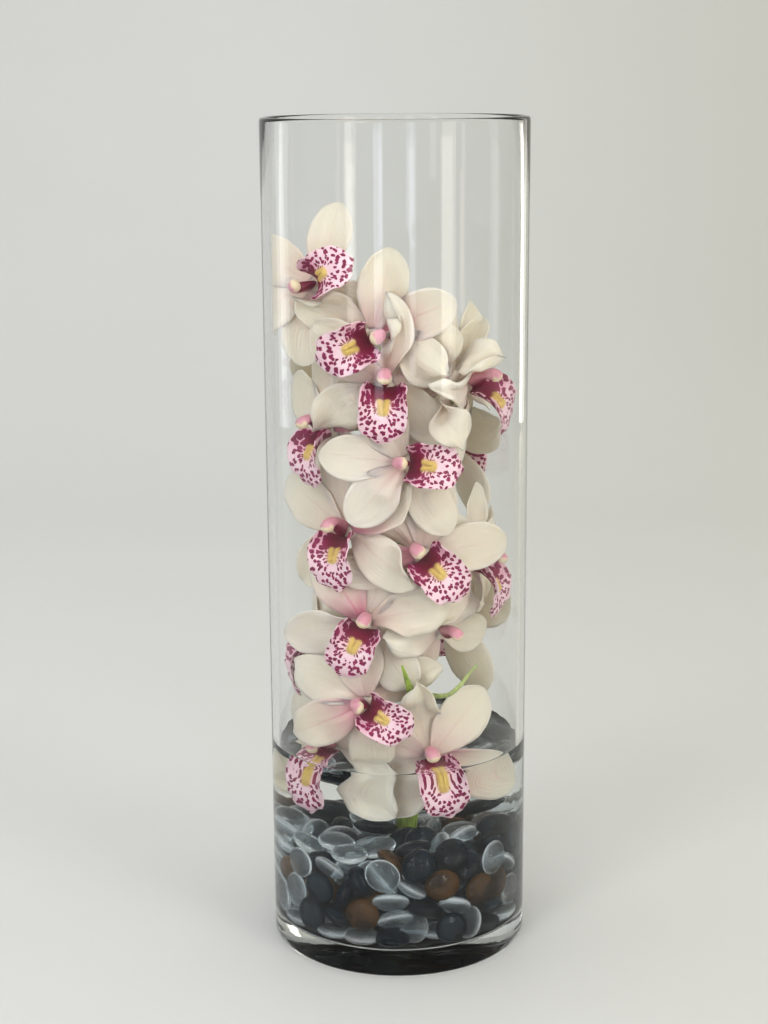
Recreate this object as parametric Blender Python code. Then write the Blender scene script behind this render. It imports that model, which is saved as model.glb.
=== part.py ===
"""A cymbidium orchid stem in a tall glass cylinder vase, with glass gems and water.

The stem stands in a bed of glass gems and carries its blooms up the inside of the vase. Each bloom is
laid out flat and small, and then opened step by step, so that its tepals bend clear of the glass, the
gems, the stem and every other bloom. Metres, +Z up, with the origin at the centre of the vase's foot.
"""

import math
import random
from collections import namedtuple

import bmesh
import bpy
import numpy as np
from mathutils import Matrix, Vector
from mathutils.kdtree import KDTree

MM = 0.001
TINY = 1e-9
SHARP_ANGLE = 50
WELD = 0.03 * MM

# The vase: a plain cylinder with a thick foot.
VASE_HEIGHT = 406 * MM
VASE_RADIUS = 63.5 * MM
WALL = 4 * MM
FOOT = 12 * MM
EDGE = 1 * MM
VASE_SIDES = 40
GAP = 0.3 * MM
INNER_RADIUS = VASE_RADIUS - WALL

# What stands in the vase.
WATER_LEVEL = 103 * MM
GEM_TOP = 70 * MM
GEM_RADIUS = 11 * MM
GEM_HALF_HEIGHT = 5 * MM
GEM_OUTLINE = ((0.55, -1), (1, -0.1), (0.6, 1))
GEM_SIDES = 6
GEM_RINGS = 3
GEMS_A_RING = 13
GEM_RING_RADIUS = 52 * MM
GEM_LOWEST = FOOT + 9 * MM
GEM_HIGHEST = GEM_TOP - 6 * MM
GEM_STRAY = 2 * MM
GEM_TURN = 0.1
GEM_LEAN = 0.6
GEM_TOP_LEAN = 0.4
GEM_TOP_RINGS = ((36 * MM, 7), (20 * MM, 4))
GEM_TOP_MIDDLE = 61 * MM
GEM_CORE_RADIUS = 50 * MM
GEM_CORE_TOP = 60 * MM
GEM_CORE_SIDES = 16
GEM_SEED = 7
STEM_HOLE_ROOM = 0.5 * MM
STEM_HOLE_TOP = GEM_TOP + 20 * MM
STEM_HOLE_SIDES = 8

# The blooms: the point that the middle of the lip takes, the way the bloom faces and how far it is rolled.
# Azimuth 0 faces -Y and 90 faces +X. Roll turns the bloom anticlockwise as seen from its front.
Bloom = namedtuple("Bloom", "x y z azimuth elevation roll size lip", defaults=(1, True))
BLOOMS = (
    Bloom(-32, -34, 337, -18, 12, 118, 0.86),
    Bloom(-22, -45, 303, -12, -4, -66, 0.92),
    Bloom(-6, -47, 275, -2, -4, -3, 0.95),
    Bloom(48, -17, 273, 62, 5, 27, 0.95),
    Bloom(-40, -30, 251, -52, 0, 6, 0.93),
    Bloom(16, -47, 249, 13, 8, 82, 0.88),
    Bloom(-29, -42, 204, -32, 0, 6, 0.95),
    Bloom(20, -46, 197, 10, 2, 42, 0.95),
    Bloom(47, -18, 183, 64, 0, -5, 0.88),
    Bloom(-21, -46, 161, -10, -2, -22, 0.92),
    Bloom(-49, -13, 143, -76, 0, 4, 0.95),
    Bloom(-6, -47, 126, 4, 0, 60, 0.88),
    Bloom(-39, -24, 88, -44, 2, 5, 0.95),
    Bloom(20, -42, 91, 10, 2, 14, 0.95),
    Bloom(10, -40, 284, -50, 40, 0, 0.85, False),
    Bloom(36, 34, 236, 133, 2, 10, 0.9),
    Bloom(-28, 42, 268, 213, 4, -12, 0.9),
    Bloom(26, 38, 146, 158, 0, 15, 0.95),
    Bloom(30, -28, 152, 40, -8, 24, 0.82, False),
)
LIP_MIDDLE = (0, -11, 13)

# A tepal, which is a sepal or a petal: where it points, its length, half its width, how far it leans
# forward, how far its tip curls forward as a share of its length, and how far forward it is seated.
# Its solid blade takes every BLADE_STEP-th column of the grid that opens.
Tepal = namedtuple("Tepal", "angle length half_width lean curl seat")
TEPALS = (
    Tepal(90, 43, 12.4, -4, 0.10, -1.6),
    Tepal(36, 42, 13.2, -2, -0.06, -0.3),
    Tepal(144, 42, 13.2, -2, -0.06, -0.3),
    Tepal(-38, 43, 12.4, -10, 0.05, -1.6),
    Tepal(218, 43, 12.4, -10, 0.05, -1.6),
)
TEPAL_ROWS = 6
TEPAL_COLS = 7
BLADE_STEP = 3
TEPAL_THICKNESS = 0.9 * MM
TEPAL_ROOT = 3 * MM
WIDEST = 0.55
BASE_WIDTH = 0.2
TIP_WIDTH = 0.16
TIP_LEAST = 0.8 * MM
TIP_ROUND = 2.3
CUP = 0.16

# The lip, as rows from its claw to its tip: forward, up, half width across the surface, fold at the edge.
LipRow = namedtuple("LipRow", "forward up half_width fold")
LIP_ROWS = (
    LipRow(0.9, -2.8, 2.6, 30),
    LipRow(5.6, -3.8, 11.6, 74),
    LipRow(9.8, -6.2, 14.0, 72),
    LipRow(12.8, -10.0, 13.4, 55),
    LipRow(14.6, -14.6, 12.2, 30),
    LipRow(15.2, -19.4, 11.2, 4),
    LipRow(14.2, -24.0, 8.8, -14),
    LipRow(11.8, -27.8, 4.0, -22),
)
LIP_COLS = 5
LIP_THICKNESS = 0.9 * MM

# The column over the lip, as stations: forward, up and radius.
COLUMN = ((1.25, 3.6, 1.9), (7, 6.2, 2.4), (12, 7.0, 2.9), (15.8, 5.6, 3.2), (17.8, 3.4, 1.7))
COLUMN_SIDES = 5

# The ovary behind the bloom, as stations: forward and radius.
OVARY = ((0.4, 3.4), (-2.2, 4.8), (-9, 1.9))
OVARY_SIDES = 6

# The main stem, as points from its cut end to its tip, and its stalks to the blooms.
STEM_POINTS = (
    (0, 2, 15), (3, 0, 60), (7, -1, 105), (8, 0, 140), (4, 3, 190),
    (-1, 5, 240), (-8, 3, 285), (-15, -2, 315),
)
STEM_RADIUS = (4.2, 2.2)
STEM_SIDES = 6
STEM_STEPS = 18
STALK_RADIUS = 1.65
STALK_SIDES = 5
STALK_STEPS = 3
STALK_DROP = 16
STALK_NECK = 2
STALK_RISE = 0.35
STALK_REACH = 0.1
SPRAY_STEPS = 6
BRACT_LENGTH = 11
BRACT_WIDTHS = (2, 2.6, 0.4)
BRACT_OUT = 2 * MM
BRACT_DOWN = 3 * MM
BRACT_LEAN = 0.3
BRACT_CURL = 0.4

# The long bract and the bare stalk that show at the front over the water.
LONG_BRACT = ((8, -1, 121), (8, -18, 124), (7, -34, 133), (2, -44, 152))
LONG_BRACT_WIDTH = (1.4, 2.3, 2.3, 0.5)
BARE_STALK = ((8, -1, 128), (14, -24, 131), (25, -38, 136), (37, -37, 150))
BARE_STALK_RADIUS = (1.5, 1.3, 1.1, 0.7)

# How the blooms open: the room kept between two surfaces, and the number of steps.
ROOM = 4.4 * MM
BODY_ROOM = {"lip": 3.7, "column": 5.6, "stalk": 4.4, "stem": 5.8, "ovary": 6.4, "bract": 4}
WALL_ROOM = 1.1 * MM
WET_WALL_ROOM = 4.6 * MM
BED_ROOM = 3 * MM
OPEN_FROM = 0.3
OPEN_STEPS = 80
SETTLE_STEPS = 90
SEARCH_EVERY = 4
REACH = 7.5 * MM
OWN_ROOM = 6 * MM
TURNS = 3
PULL_TO_SHAPE = 0.02
STIFFNESS = 0.22
PUSH_SHARE = 0.25
PUSH_WHOLE = 0.6
MIDDLE_SHARE = 0.6

# The hole in the water for what stands in it.
WELL_MARGIN = 2.2 * MM
WELL_OVER = 5 * MM
WELL_SIDES = 24
WELL_LEAST = 12 * MM
WELL_MOST = INNER_RADIUS - 3 * MM

COLOURS = {
    "tepals": ((0.86, 0.80, 0.74), 0.5),
    "lip": ((0.78, 0.42, 0.52), 0.45),
    "column": ((0.62, 0.24, 0.32), 0.45),
    "stem": ((0.35, 0.45, 0.12), 0.5),
    "glass": ((0.85, 0.90, 0.90), 0.05),
    "water": ((0.80, 0.88, 0.88), 0.02),
    "gems": ((0.08, 0.10, 0.14), 0.08),
}


def clear_scene():
    for old in list(bpy.data.objects):
        bpy.data.objects.remove(old)


def material(name):
    colour, roughness = COLOURS[name]
    made = bpy.data.materials.get(name) or bpy.data.materials.new(name)
    made.use_nodes = True
    shader = made.node_tree.nodes["Principled BSDF"]
    shader.inputs["Base Color"].default_value = (*colour, 1)
    shader.inputs["Roughness"].default_value = roughness
    shader.inputs["Metallic"].default_value = 0
    return made


def mesh_object(name, points, faces, finish):
    mesh = bpy.data.meshes.new(name)
    mesh.from_pydata([tuple(p) for p in points], [], faces)
    mesh.validate()
    mesh.shade_smooth()
    mesh.set_sharp_from_angle(angle=math.radians(SHARP_ANGLE))
    mesh.materials.append(material(finish))
    made = bpy.data.objects.new(name, mesh)
    bpy.context.scene.collection.objects.link(made)
    return made


def joined(target, others, operation="UNION"):
    """The target with all the others joined to it, or cut from it, by one applied Boolean.

    The solver is MANIFOLD, because EXACT leaves loose bits where the blades and stalks cross.
    """
    group = bpy.data.collections.new(target.name + "_tools")
    bpy.context.scene.collection.children.link(group)
    for other in others:
        bpy.context.scene.collection.objects.unlink(other)
        group.objects.link(other)
    boolean = target.modifiers.new("join", "BOOLEAN")
    boolean.operation = operation
    boolean.operand_type = "COLLECTION"
    boolean.collection = group
    boolean.solver = "MANIFOLD"
    bpy.context.view_layer.update()
    graph = bpy.context.evaluated_depsgraph_get()
    whole = bpy.data.meshes.new_from_object(target.evaluated_get(graph))
    target.modifiers.clear()
    target.data = whole
    for other in list(group.objects):
        bpy.data.objects.remove(other)
    bpy.data.collections.remove(group)
    return target


def close_slivers(made):
    """Takes out the finest slivers that a Boolean leaves where blades cross."""
    mesh = bmesh.new()
    mesh.from_mesh(made.data)
    bmesh.ops.dissolve_degenerate(mesh, dist=WELD, edges=mesh.edges)
    bmesh.ops.triangulate(mesh, faces=mesh.faces)
    mesh.to_mesh(made.data)
    mesh.free()


def rings_to_solid(rings):
    """Points and faces of a tube through rings of points, closed at both ends."""
    count = len(rings[0])
    points = [p for ring in rings for p in ring]
    faces = []
    for k in range(len(rings) - 1):
        for i in range(count):
            a, b = k * count + i, k * count + (i + 1) % count
            faces.append((a, b, b + count, a + count))
    faces.append(tuple(reversed(range(count))))
    last = (len(rings) - 1) * count
    faces.append(tuple(range(last, last + count)))
    return points, faces


def smooth_path(points, steps):
    """Points evenly counted along a Catmull-Rom curve through the given ones."""
    padded = [2 * points[0] - points[1], *points, 2 * points[-1] - points[-2]]
    spans = len(points) - 1
    found = []
    for k in range(steps + 1):
        at = min(k * spans / steps, spans - TINY)
        i, t = int(at), at - int(at)
        a, b, c, d = padded[i:i + 4]
        found.append(
            0.5 * (2 * b + (c - a) * t + (2 * a - 5 * b + 4 * c - d) * t**2
                   + (3 * b - a - 3 * c + d) * t**3)
        )
    return found


def tube(path, radii, sides):
    """A closed tube along a path, with its rings kept from twisting."""
    rings = []
    side = None
    for k, point in enumerate(path):
        ahead = (path[min(k + 1, len(path) - 1)] - path[max(k - 1, 0)]).normalized()
        if side is None:
            side = ahead.orthogonal().normalized()
        side = (side - ahead * side.dot(ahead)).normalized()
        up = ahead.cross(side)
        turns = [2 * math.pi * i / sides for i in range(sides)]
        rings.append([point + radii[k] * (math.cos(a) * side + math.sin(a) * up) for a in turns])
    return rings_to_solid(rings)


def sheet_to_solid(grid, thickness):
    """Points and triangles of a blade of even thickness about a grid of points, split alike on both faces."""
    rows, cols = grid.shape[:2]
    along = np.gradient(grid, axis=0)
    across = np.gradient(grid, axis=1)
    normal = np.cross(along, across)
    length = np.sqrt(normal[..., 0] ** 2 + normal[..., 1] ** 2 + normal[..., 2] ** 2)
    normal = normal / length[..., None]
    half = normal * (thickness / 2)
    points = np.concatenate([(grid + half).reshape(-1, 3), (grid - half).reshape(-1, 3)])
    count = rows * cols
    faces = []
    for i in range(rows - 1):
        for j in range(cols - 1):
            a, b = i * cols + j, i * cols + j + 1
            c, d = b + cols, a + cols
            faces += [(a, d, c), (a, c, b)]
            faces += [(a + count, c + count, d + count), (a + count, b + count, c + count)]
    rim = [j for j in range(cols)]
    rim += [i * cols + cols - 1 for i in range(1, rows)]
    rim += [(rows - 1) * cols + j for j in range(cols - 2, -1, -1)]
    rim += [i * cols for i in range(rows - 2, 0, -1)]
    for a, b in zip(rim, rim[1:] + rim[:1]):
        faces += [(a, b, b + count), (a, b + count, a + count)]
    return points, faces


def bloom_axes(bloom):
    """The bloom's right, up and forward directions, as the columns of a matrix."""
    turn, tilt, roll = (math.radians(v) for v in (bloom.azimuth, bloom.elevation, bloom.roll))
    forward = Vector((
        math.sin(turn) * math.cos(tilt), -math.cos(turn) * math.cos(tilt), math.sin(tilt)
    ))
    level = Vector((math.cos(turn), math.sin(turn), 0))
    upright = forward.cross(level)
    right = math.cos(roll) * level + math.sin(roll) * upright
    up = math.cos(roll) * upright - math.sin(roll) * level
    return Matrix((right, up, forward)).transposed() * bloom.size


def bloom_centre(bloom, axes):
    return Vector((bloom.x, bloom.y, bloom.z)) * MM - axes @ (Vector(LIP_MIDDLE) * MM)


def to_world(points, axes, centre):
    """Local points, an array of any shape of right, up and forward, placed in the vase."""
    turned = [sum(points[..., k] * axes[row][k] for k in range(3)) + centre[row] for row in range(3)]
    return np.stack(turned, axis=-1)


def width_at(share):
    """A tepal's width along its length, as a share of its widest."""
    if share < WIDEST:
        return BASE_WIDTH + (1 - BASE_WIDTH) * math.sin(math.pi / 2 * share / WIDEST)
    beyond = (share - WIDEST) / (1 - WIDEST)
    return max(TIP_WIDTH, math.sqrt(1 - min(beyond, 1) ** TIP_ROUND))


def tepal_grid(tepal):
    """A flat-lying tepal in its bloom's own directions."""
    angle, lean = math.radians(tepal.angle), math.radians(tepal.lean)
    out = np.array((math.cos(angle), math.sin(angle), 0))
    side = np.array((-math.sin(angle), math.cos(angle), 0))
    front = np.array((0.0, 0.0, 1.0))
    along = math.cos(lean) * out + math.sin(lean) * front
    lift = math.cos(lean) * front - math.sin(lean) * out
    grid = np.zeros((TEPAL_ROWS, TEPAL_COLS, 3))
    for i in range(TEPAL_ROWS):
        share = i / (TEPAL_ROWS - 1)
        half = tepal.half_width * MM * width_at(share)
        for j in range(TEPAL_COLS):
            t = 2 * j / (TEPAL_COLS - 1) - 1
            rise = tepal.curl * tepal.length * MM * share**2 + CUP * half * t**2
            grid[i, j] = (
                along * (TEPAL_ROOT + tepal.length * MM * share)
                + side * half * t + lift * rise + front * tepal.seat * MM
            )
    return grid


def lip_grid(cols=LIP_COLS):
    """The lip in its bloom's own directions: its sides fold up about the column and its tip turns down."""
    centre = [np.array((0.0, row.up, row.forward)) * MM for row in LIP_ROWS]
    grid = np.zeros((len(LIP_ROWS), cols, 3))
    for i, row in enumerate(LIP_ROWS):
        ahead = centre[min(i + 1, len(LIP_ROWS) - 1)] - centre[max(i - 1, 0)]
        size = math.sqrt(ahead[1] ** 2 + ahead[2] ** 2)
        inward = np.array((0.0, ahead[2], -ahead[1])) / size
        fold = math.radians(row.fold)
        for j in range(cols):
            t = 2 * j / (cols - 1) - 1
            turn = fold * abs(t)
            half = row.half_width * MM
            out = half * abs(t) * (math.sin(turn) / turn if turn else 1)
            rise = half * abs(t) * ((1 - math.cos(turn)) / turn if turn else 0)
            grid[i, j] = centre[i] + inward * rise + np.array((math.copysign(out, t), 0, 0))
    return grid


def column_path():
    return [Vector((0, up, forward)) * MM for forward, up, _ in COLUMN]


def in_metres(points):
    return [Vector(p) * MM for p in points]


def stem_path():
    return smooth_path(in_metres(STEM_POINTS), STEM_STEPS)


def stem_point(height):
    """The point of the main stem at a height."""
    path = stem_path()
    for a, b in zip(path, path[1:]):
        if a.z <= height <= b.z:
            return a.lerp(b, (height - a.z) / (b.z - a.z))
    return path[-1] if height > path[-1].z else path[0]


def stalk_path(bloom):
    """A stalk from the main stem up to the back of a bloom's ovary."""
    axes = bloom_axes(bloom)
    centre = bloom_centre(bloom, axes)
    forward = axes.col[2].normalized()
    tip = centre + axes.col[2] * OVARY[-1][0] * MM - forward * GAP
    end = tip - forward * STALK_NECK * MM
    start = stem_point(min(end.z - STALK_DROP * MM, STEM_POINTS[-1][2] * MM))
    reach = (end - start).length
    lead = start + Vector((0, 0, 1)) * reach * STALK_RISE + (end - start) * STALK_REACH
    bend = end - forward * reach * STALK_RISE
    path = []
    for k in range(STALK_STEPS + 1):
        t = k / STALK_STEPS
        path.append(
            start * (1 - t) ** 3 + lead * 3 * t * (1 - t) ** 2 + bend * 3 * t**2 * (1 - t) + end * t**3
        )
    return [*path, tip]


def obstacles():
    """Points on all that the tepals bend clear of, the bloom that each belongs to and the room it needs."""
    points, owners, rooms = [], [], []

    def add(number, kind, found):
        points.extend(map(tuple, found))
        owners.extend([number] * len(found))
        rooms.extend([BODY_ROOM[kind] * MM] * len(found))

    for number, bloom in enumerate(BLOOMS):
        axes = bloom_axes(bloom)
        centre = bloom_centre(bloom, axes)
        if bloom.lip:
            lip = with_middles(lip_grid(cols=2 * LIP_COLS - 1)[None])
            add(number, "lip", to_world(lip, axes, centre).reshape(-1, 3))
        add(number, "column", [centre + axes @ p for p in between(column_path(), 2)])
        add(number, "ovary", [centre + axes.col[2] * forward * MM for forward, _ in OVARY])
        add(number, "stalk", between(stalk_path(bloom), 3))
        add(-1, "bract", between(bract_path(bloom), 2))
    add(-1, "stem", between(stem_path(), 4))
    add(-1, "bract", between(smooth_path(in_metres(LONG_BRACT), SPRAY_STEPS), 3))
    add(-1, "stalk", between(smooth_path(in_metres(BARE_STALK), SPRAY_STEPS), 3))
    return np.array(points), np.array(owners), np.array(rooms)


def between(path, parts):
    """The points of a path with more set evenly between them."""
    return [a.lerp(b, k / parts) for a, b in zip(path, path[1:]) for k in range(parts)] + [path[-1]]


def distance(a, b):
    apart = b - a
    return apart, np.sqrt(apart[..., 0] ** 2 + apart[..., 1] ** 2 + apart[..., 2] ** 2)


def close_pairs(points, fixed, owner, fixed_owner, rest_room):
    """Pairs of a moving point with another point near it, leaving out those that rest side by side."""
    every = np.concatenate([points, fixed])
    tepal = np.concatenate([owner[1], np.full(len(fixed), -1)])
    bloom = np.concatenate([owner[0], fixed_owner])
    tree = KDTree(len(every))
    for k, point in enumerate(every):
        tree.insert(point, k)
    tree.balance()
    first, second = [], []
    for k, point in enumerate(points):
        found = [other for _, other, _ in tree.find_range(point, REACH)]
        first += [k] * len(found)
        second += found
    first, second = np.array(first), np.array(second)
    _, at_rest = distance(rest_room[first], rest_room[second])
    own = (bloom[first] == bloom[second]) & (at_rest < OWN_ROOM)
    keep = (tepal[first] != tepal[second]) & ~own
    return first[keep], second[keep]


def push_apart(points, fixed, rooms, pairs):
    """How far each point moves to be out of the other points' room."""
    first, second = pairs
    every = np.concatenate([points, fixed])
    room = np.concatenate([np.full(len(points), ROOM), rooms])[second]
    apart, gap = distance(every[first], every[second])
    near = (gap < room) & (gap > TINY)
    first, second, apart, gap, room = first[near], second[near], apart[near], gap[near], room[near]
    share = np.where(second < len(points), PUSH_SHARE, PUSH_WHOLE)
    move = apart * ((gap - room) / gap * share)[:, None]
    total = [np.bincount(first, weights=move[:, k], minlength=len(points)) for k in range(3)]
    return np.stack(total, axis=-1)


def with_middles(grid):
    """The grids of points with a row set between each two rows."""
    fine = np.zeros((len(grid), 2 * grid.shape[1] - 1, *grid.shape[2:]))
    fine[:, ::2] = grid
    fine[:, 1::2] = (grid[:, :-1] + grid[:, 1:]) / 2
    return fine


def keep_lengths(grid, rest, stiffness):
    """Pulls each tepal's mesh back to its own lengths, along, across, slantwise and over two cells."""
    spans = (
        ((slice(None, -1), slice(None)), (slice(1, None), slice(None))),
        ((slice(None), slice(None, -1)), (slice(None), slice(1, None))),
        ((slice(None, -1), slice(None, -1)), (slice(1, None), slice(1, None))),
        ((slice(1, None), slice(None, -1)), (slice(None, -1), slice(1, None))),
        ((slice(None, -2), slice(None)), (slice(2, None), slice(None))),
        ((slice(None), slice(None, -2)), (slice(None), slice(2, None))),
    )
    for a, b in spans:
        a, b = (slice(None), *a), (slice(None), *b)
        _, wanted = distance(rest[a], rest[b])
        apart, gap = distance(grid[a], grid[b])
        move = apart * ((gap - wanted) / gap * stiffness)[..., None]
        grid[a] += move
        grid[b] -= move


def keep_inside(grid):
    """Holds points off the glass and above the gems. Under water they keep a wider room to the glass."""
    room = np.where(grid[..., 2] < WATER_LEVEL + BED_ROOM, WET_WALL_ROOM, WALL_ROOM)
    radius = np.sqrt(grid[..., 0] ** 2 + grid[..., 1] ** 2)
    shrink = np.minimum(1, (INNER_RADIUS - room) / np.maximum(radius, TINY))
    grid[..., 0] *= shrink
    grid[..., 1] *= shrink
    grid[..., 2] = np.maximum(grid[..., 2], GEM_TOP + BED_ROOM)


def open_blooms():
    """Every tepal's grid of points, after the blooms have opened from small buds to their full size."""
    flat, centres, numbers = [], [], []
    for number, bloom in enumerate(BLOOMS):
        axes = bloom_axes(bloom)
        centre = bloom_centre(bloom, axes)
        for tepal in TEPALS:
            flat.append(to_world(tepal_grid(tepal), axes, centre))
            centres.append(tuple(centre))
            numbers.append(number)
    flat = np.array(flat)
    centres = np.array(centres)[:, None, None, :]
    cells = (2 * TEPAL_ROWS - 1) * TEPAL_COLS
    owner = (np.repeat(numbers, cells), np.repeat(np.arange(len(flat)), cells))
    fixed, fixed_owner, rooms = obstacles()
    rest_room = np.concatenate([with_middles(flat).reshape(-1, 3), fixed])
    grid = centres + (flat - centres) * OPEN_FROM
    before = OPEN_FROM
    for step in range(1, OPEN_STEPS + SETTLE_STEPS):
        size = OPEN_FROM + (1 - OPEN_FROM) * min(1, step / OPEN_STEPS)
        rest = centres + (flat - centres) * size
        grid = centres + (grid - centres) * (size / before)
        before = size
        if step % SEARCH_EVERY == 1:
            points = with_middles(grid).reshape(-1, 3)
            pairs = close_pairs(points, fixed, owner, fixed_owner, rest_room)
        for _ in range(TURNS):
            grid += (rest - grid) * PULL_TO_SHAPE
            keep_lengths(grid, rest, STIFFNESS)
            fine = with_middles(grid)
            move = push_apart(fine.reshape(-1, 3), fixed, rooms, pairs).reshape(fine.shape)
            grid += move[:, ::2]
            grid[:, :-1] += move[:, 1::2] * MIDDLE_SHARE
            grid[:, 1:] += move[:, 1::2] * MIDDLE_SHARE
            keep_inside(grid)
            grid[:, 0] = rest[:, 0]
    return np.round(grid, 5)


def make_ovary(name, axes, centre):
    """The short neck behind a bloom that its tepals grow from."""
    rings = []
    for forward, radius in OVARY:
        turns = [2 * math.pi * (i + 0.5) / OVARY_SIDES for i in range(OVARY_SIDES)]
        rings.append([
            centre + axes @ Vector((radius * math.cos(a), radius * math.sin(a), forward)) * MM
            for a in reversed(turns)
        ])
    return mesh_object(name, *rings_to_solid(rings), "tepals")


def square_tip(grid):
    """Sets a twisted or pinched tip square to the row before it, so that its solid's walls don't cross."""
    across, wide = distance(grid[-1, 0], grid[-1, -1])
    before, span = distance(grid[-2, 0], grid[-2, -1])
    if across @ before > 0 and wide > 2 * TIP_LEAST:
        return grid
    for col, way in ((0, -1), (-1, 1)):
        grid[-1, col] = grid[-1, grid.shape[1] // 2] + before / span * way * TIP_LEAST
    return grid


def make_bloom(number, bloom, grids):
    """One bloom as three pieces: its tepals with the ovary, its lip and its column."""
    axes = bloom_axes(bloom)
    centre = bloom_centre(bloom, axes)
    tag = f"bloom_{number + 1:02d}"
    base = make_ovary(f"{tag}_tepals", axes, centre)
    blades = [
        mesh_object(
            f"{tag}_blade_{k}", *sheet_to_solid(square_tip(grid[:, ::BLADE_STEP]), TEPAL_THICKNESS),
            "tepals",
        )
        for k, grid in enumerate(grids)
    ]
    close_slivers(joined(base, blades))
    if bloom.lip:
        lip = to_world(lip_grid(), axes, centre)
        mesh_object(f"{tag}_lip", *sheet_to_solid(lip, LIP_THICKNESS), "lip")
    path = [centre + axes @ p for p in column_path()]
    radii = [radius * bloom.size * MM for _, _, radius in COLUMN]
    mesh_object(f"{tag}_column", *tube(path, radii, COLUMN_SIDES), "column")


def make_blooms():
    grids = open_blooms()
    for number, bloom in enumerate(BLOOMS):
        first = number * len(TEPALS)
        make_bloom(number, bloom, grids[first:first + len(TEPALS)])


def bract_path(bloom):
    """The middle line of the small bract under a bloom's stalk, from its root to its tip."""
    stalk = stalk_path(bloom)
    out = (stalk[-1] - stalk[0]) * Vector((1, 1, 0))
    out.normalize()
    up = (Vector((0, 0, 1)) + out * BRACT_LEAN).normalized()
    root = stalk[0] + out * BRACT_OUT - up * BRACT_DOWN
    return [root + (up * k + out * BRACT_CURL * k**1.5) * BRACT_LENGTH * MM for k in (0, 0.5, 1)]


def leaf(name, path, widths):
    """A narrow blade along a path, as wide to each side as given in millimetres."""
    grid = np.zeros((len(path), 2, 3))
    for k, point in enumerate(path):
        ahead = path[min(k + 1, len(path) - 1)] - path[max(k - 1, 0)]
        side = ahead.cross(Vector((point.x, point.y, 0))).normalized()
        for j, way in enumerate((-1, 1)):
            grid[k, j] = point + side * way * widths[k] * MM
    return mesh_object(name, *sheet_to_solid(grid, TEPAL_THICKNESS), "stem")


def make_stem():
    """The main stem with every stalk and bract fused to it."""
    path = stem_path()
    low, high = STEM_RADIUS
    radii = [(low + (high - low) * k / STEM_STEPS) * MM for k in range(STEM_STEPS + 1)]
    stem = mesh_object("flower_stem", *tube(path, radii, STEM_SIDES), "stem")
    grown = []
    for number, bloom in enumerate(BLOOMS):
        stalk = stalk_path(bloom)
        radii = [STALK_RADIUS * MM] * len(stalk)
        grown.append(mesh_object(f"stalk_{number}", *tube(stalk, radii, STALK_SIDES), "stem"))
        grown.append(leaf(f"bract_{number}", bract_path(bloom), BRACT_WIDTHS))
    path = smooth_path(in_metres(LONG_BRACT), SPRAY_STEPS)
    grown.append(leaf("long_bract", path, along_path(LONG_BRACT_WIDTH, SPRAY_STEPS)))
    path = smooth_path(in_metres(BARE_STALK), SPRAY_STEPS)
    radii = [r * MM for r in along_path(BARE_STALK_RADIUS, SPRAY_STEPS)]
    grown.append(mesh_object("bare_stalk", *tube(path, radii, STALK_SIDES), "stem"))
    return joined(stem, grown)


def along_path(values, steps):
    """Values evenly counted along a row of given ones."""
    spans = len(values) - 1
    found = []
    for k in range(steps + 1):
        i = min(k * spans // steps, spans - 1)
        t = k * spans / steps - i
        found.append(values[i] * (1 - t) + values[i + 1] * t)
    return found


def turned_ring(radius, height, sides=VASE_SIDES):
    turns = [2 * math.pi * i / sides for i in range(sides)]
    return [Vector((radius * math.cos(a), radius * math.sin(a), height)) for a in turns]


def make_vase():
    """A glass cylinder, open at the top, with a polished rim and a thick foot."""
    outline = (
        (VASE_RADIUS - EDGE, 0), (VASE_RADIUS, EDGE), (VASE_RADIUS, VASE_HEIGHT - EDGE),
        (VASE_RADIUS - EDGE, VASE_HEIGHT), (INNER_RADIUS + EDGE, VASE_HEIGHT),
        (INNER_RADIUS, VASE_HEIGHT - EDGE), (INNER_RADIUS, FOOT + EDGE), (INNER_RADIUS - EDGE, FOOT),
    )
    return mesh_object("vase", *rings_to_solid([turned_ring(*p) for p in outline]), "glass")


def make_gem(name, middle, axis):
    """One glass gem: a round pebble, flatter than it is wide."""
    side = axis.orthogonal().normalized()
    across = axis.cross(side)
    rings = []
    for width, height in GEM_OUTLINE:
        turns = [2 * math.pi * i / GEM_SIDES for i in range(GEM_SIDES)]
        rings.append([
            middle + axis * GEM_HALF_HEIGHT * height
            + GEM_RADIUS * width * (math.cos(a) * side + math.sin(a) * across)
            for a in turns
        ])
    return mesh_object(name, *rings_to_solid(rings), "gems")


def hold_in(gem):
    """Slides a gem until it is clear of the glass and under the top of the bed."""
    most = INNER_RADIUS * math.cos(math.pi / VASE_SIDES) - GAP
    places = [v.co for v in gem.data.vertices]
    middle = sum(places, Vector()) / len(places)
    out = Vector((middle.x, middle.y, 0)).normalized()
    shift = -out * max(0, max(math.hypot(p.x, p.y) for p in places) - most)
    shift.z += max(0, FOOT + GAP - min(p.z for p in places))
    shift.z -= max(0, max(p.z for p in places) - GEM_TOP)
    for v in gem.data.vertices:
        v.co += shift


def wall_gems(draw):
    """The rings of gems that lie against the glass."""
    for ring in range(GEM_RINGS):
        height = GEM_LOWEST + (GEM_HIGHEST - GEM_LOWEST) * ring / (GEM_RINGS - 1)
        for k in range(GEMS_A_RING):
            turn = k + 0.5 * (ring % 2) + draw.uniform(-GEM_TURN, GEM_TURN)
            turn *= 2 * math.pi / GEMS_A_RING
            out = Vector((math.cos(turn), math.sin(turn), 0))
            lean = Vector([draw.uniform(-GEM_LEAN, GEM_LEAN) for _ in range(3)])
            middle = out * GEM_RING_RADIUS
            middle.z = height + draw.uniform(-GEM_STRAY, GEM_STRAY)
            yield make_gem(f"wall_gem_{ring}_{k}", middle, (out + lean).normalized())


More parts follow.
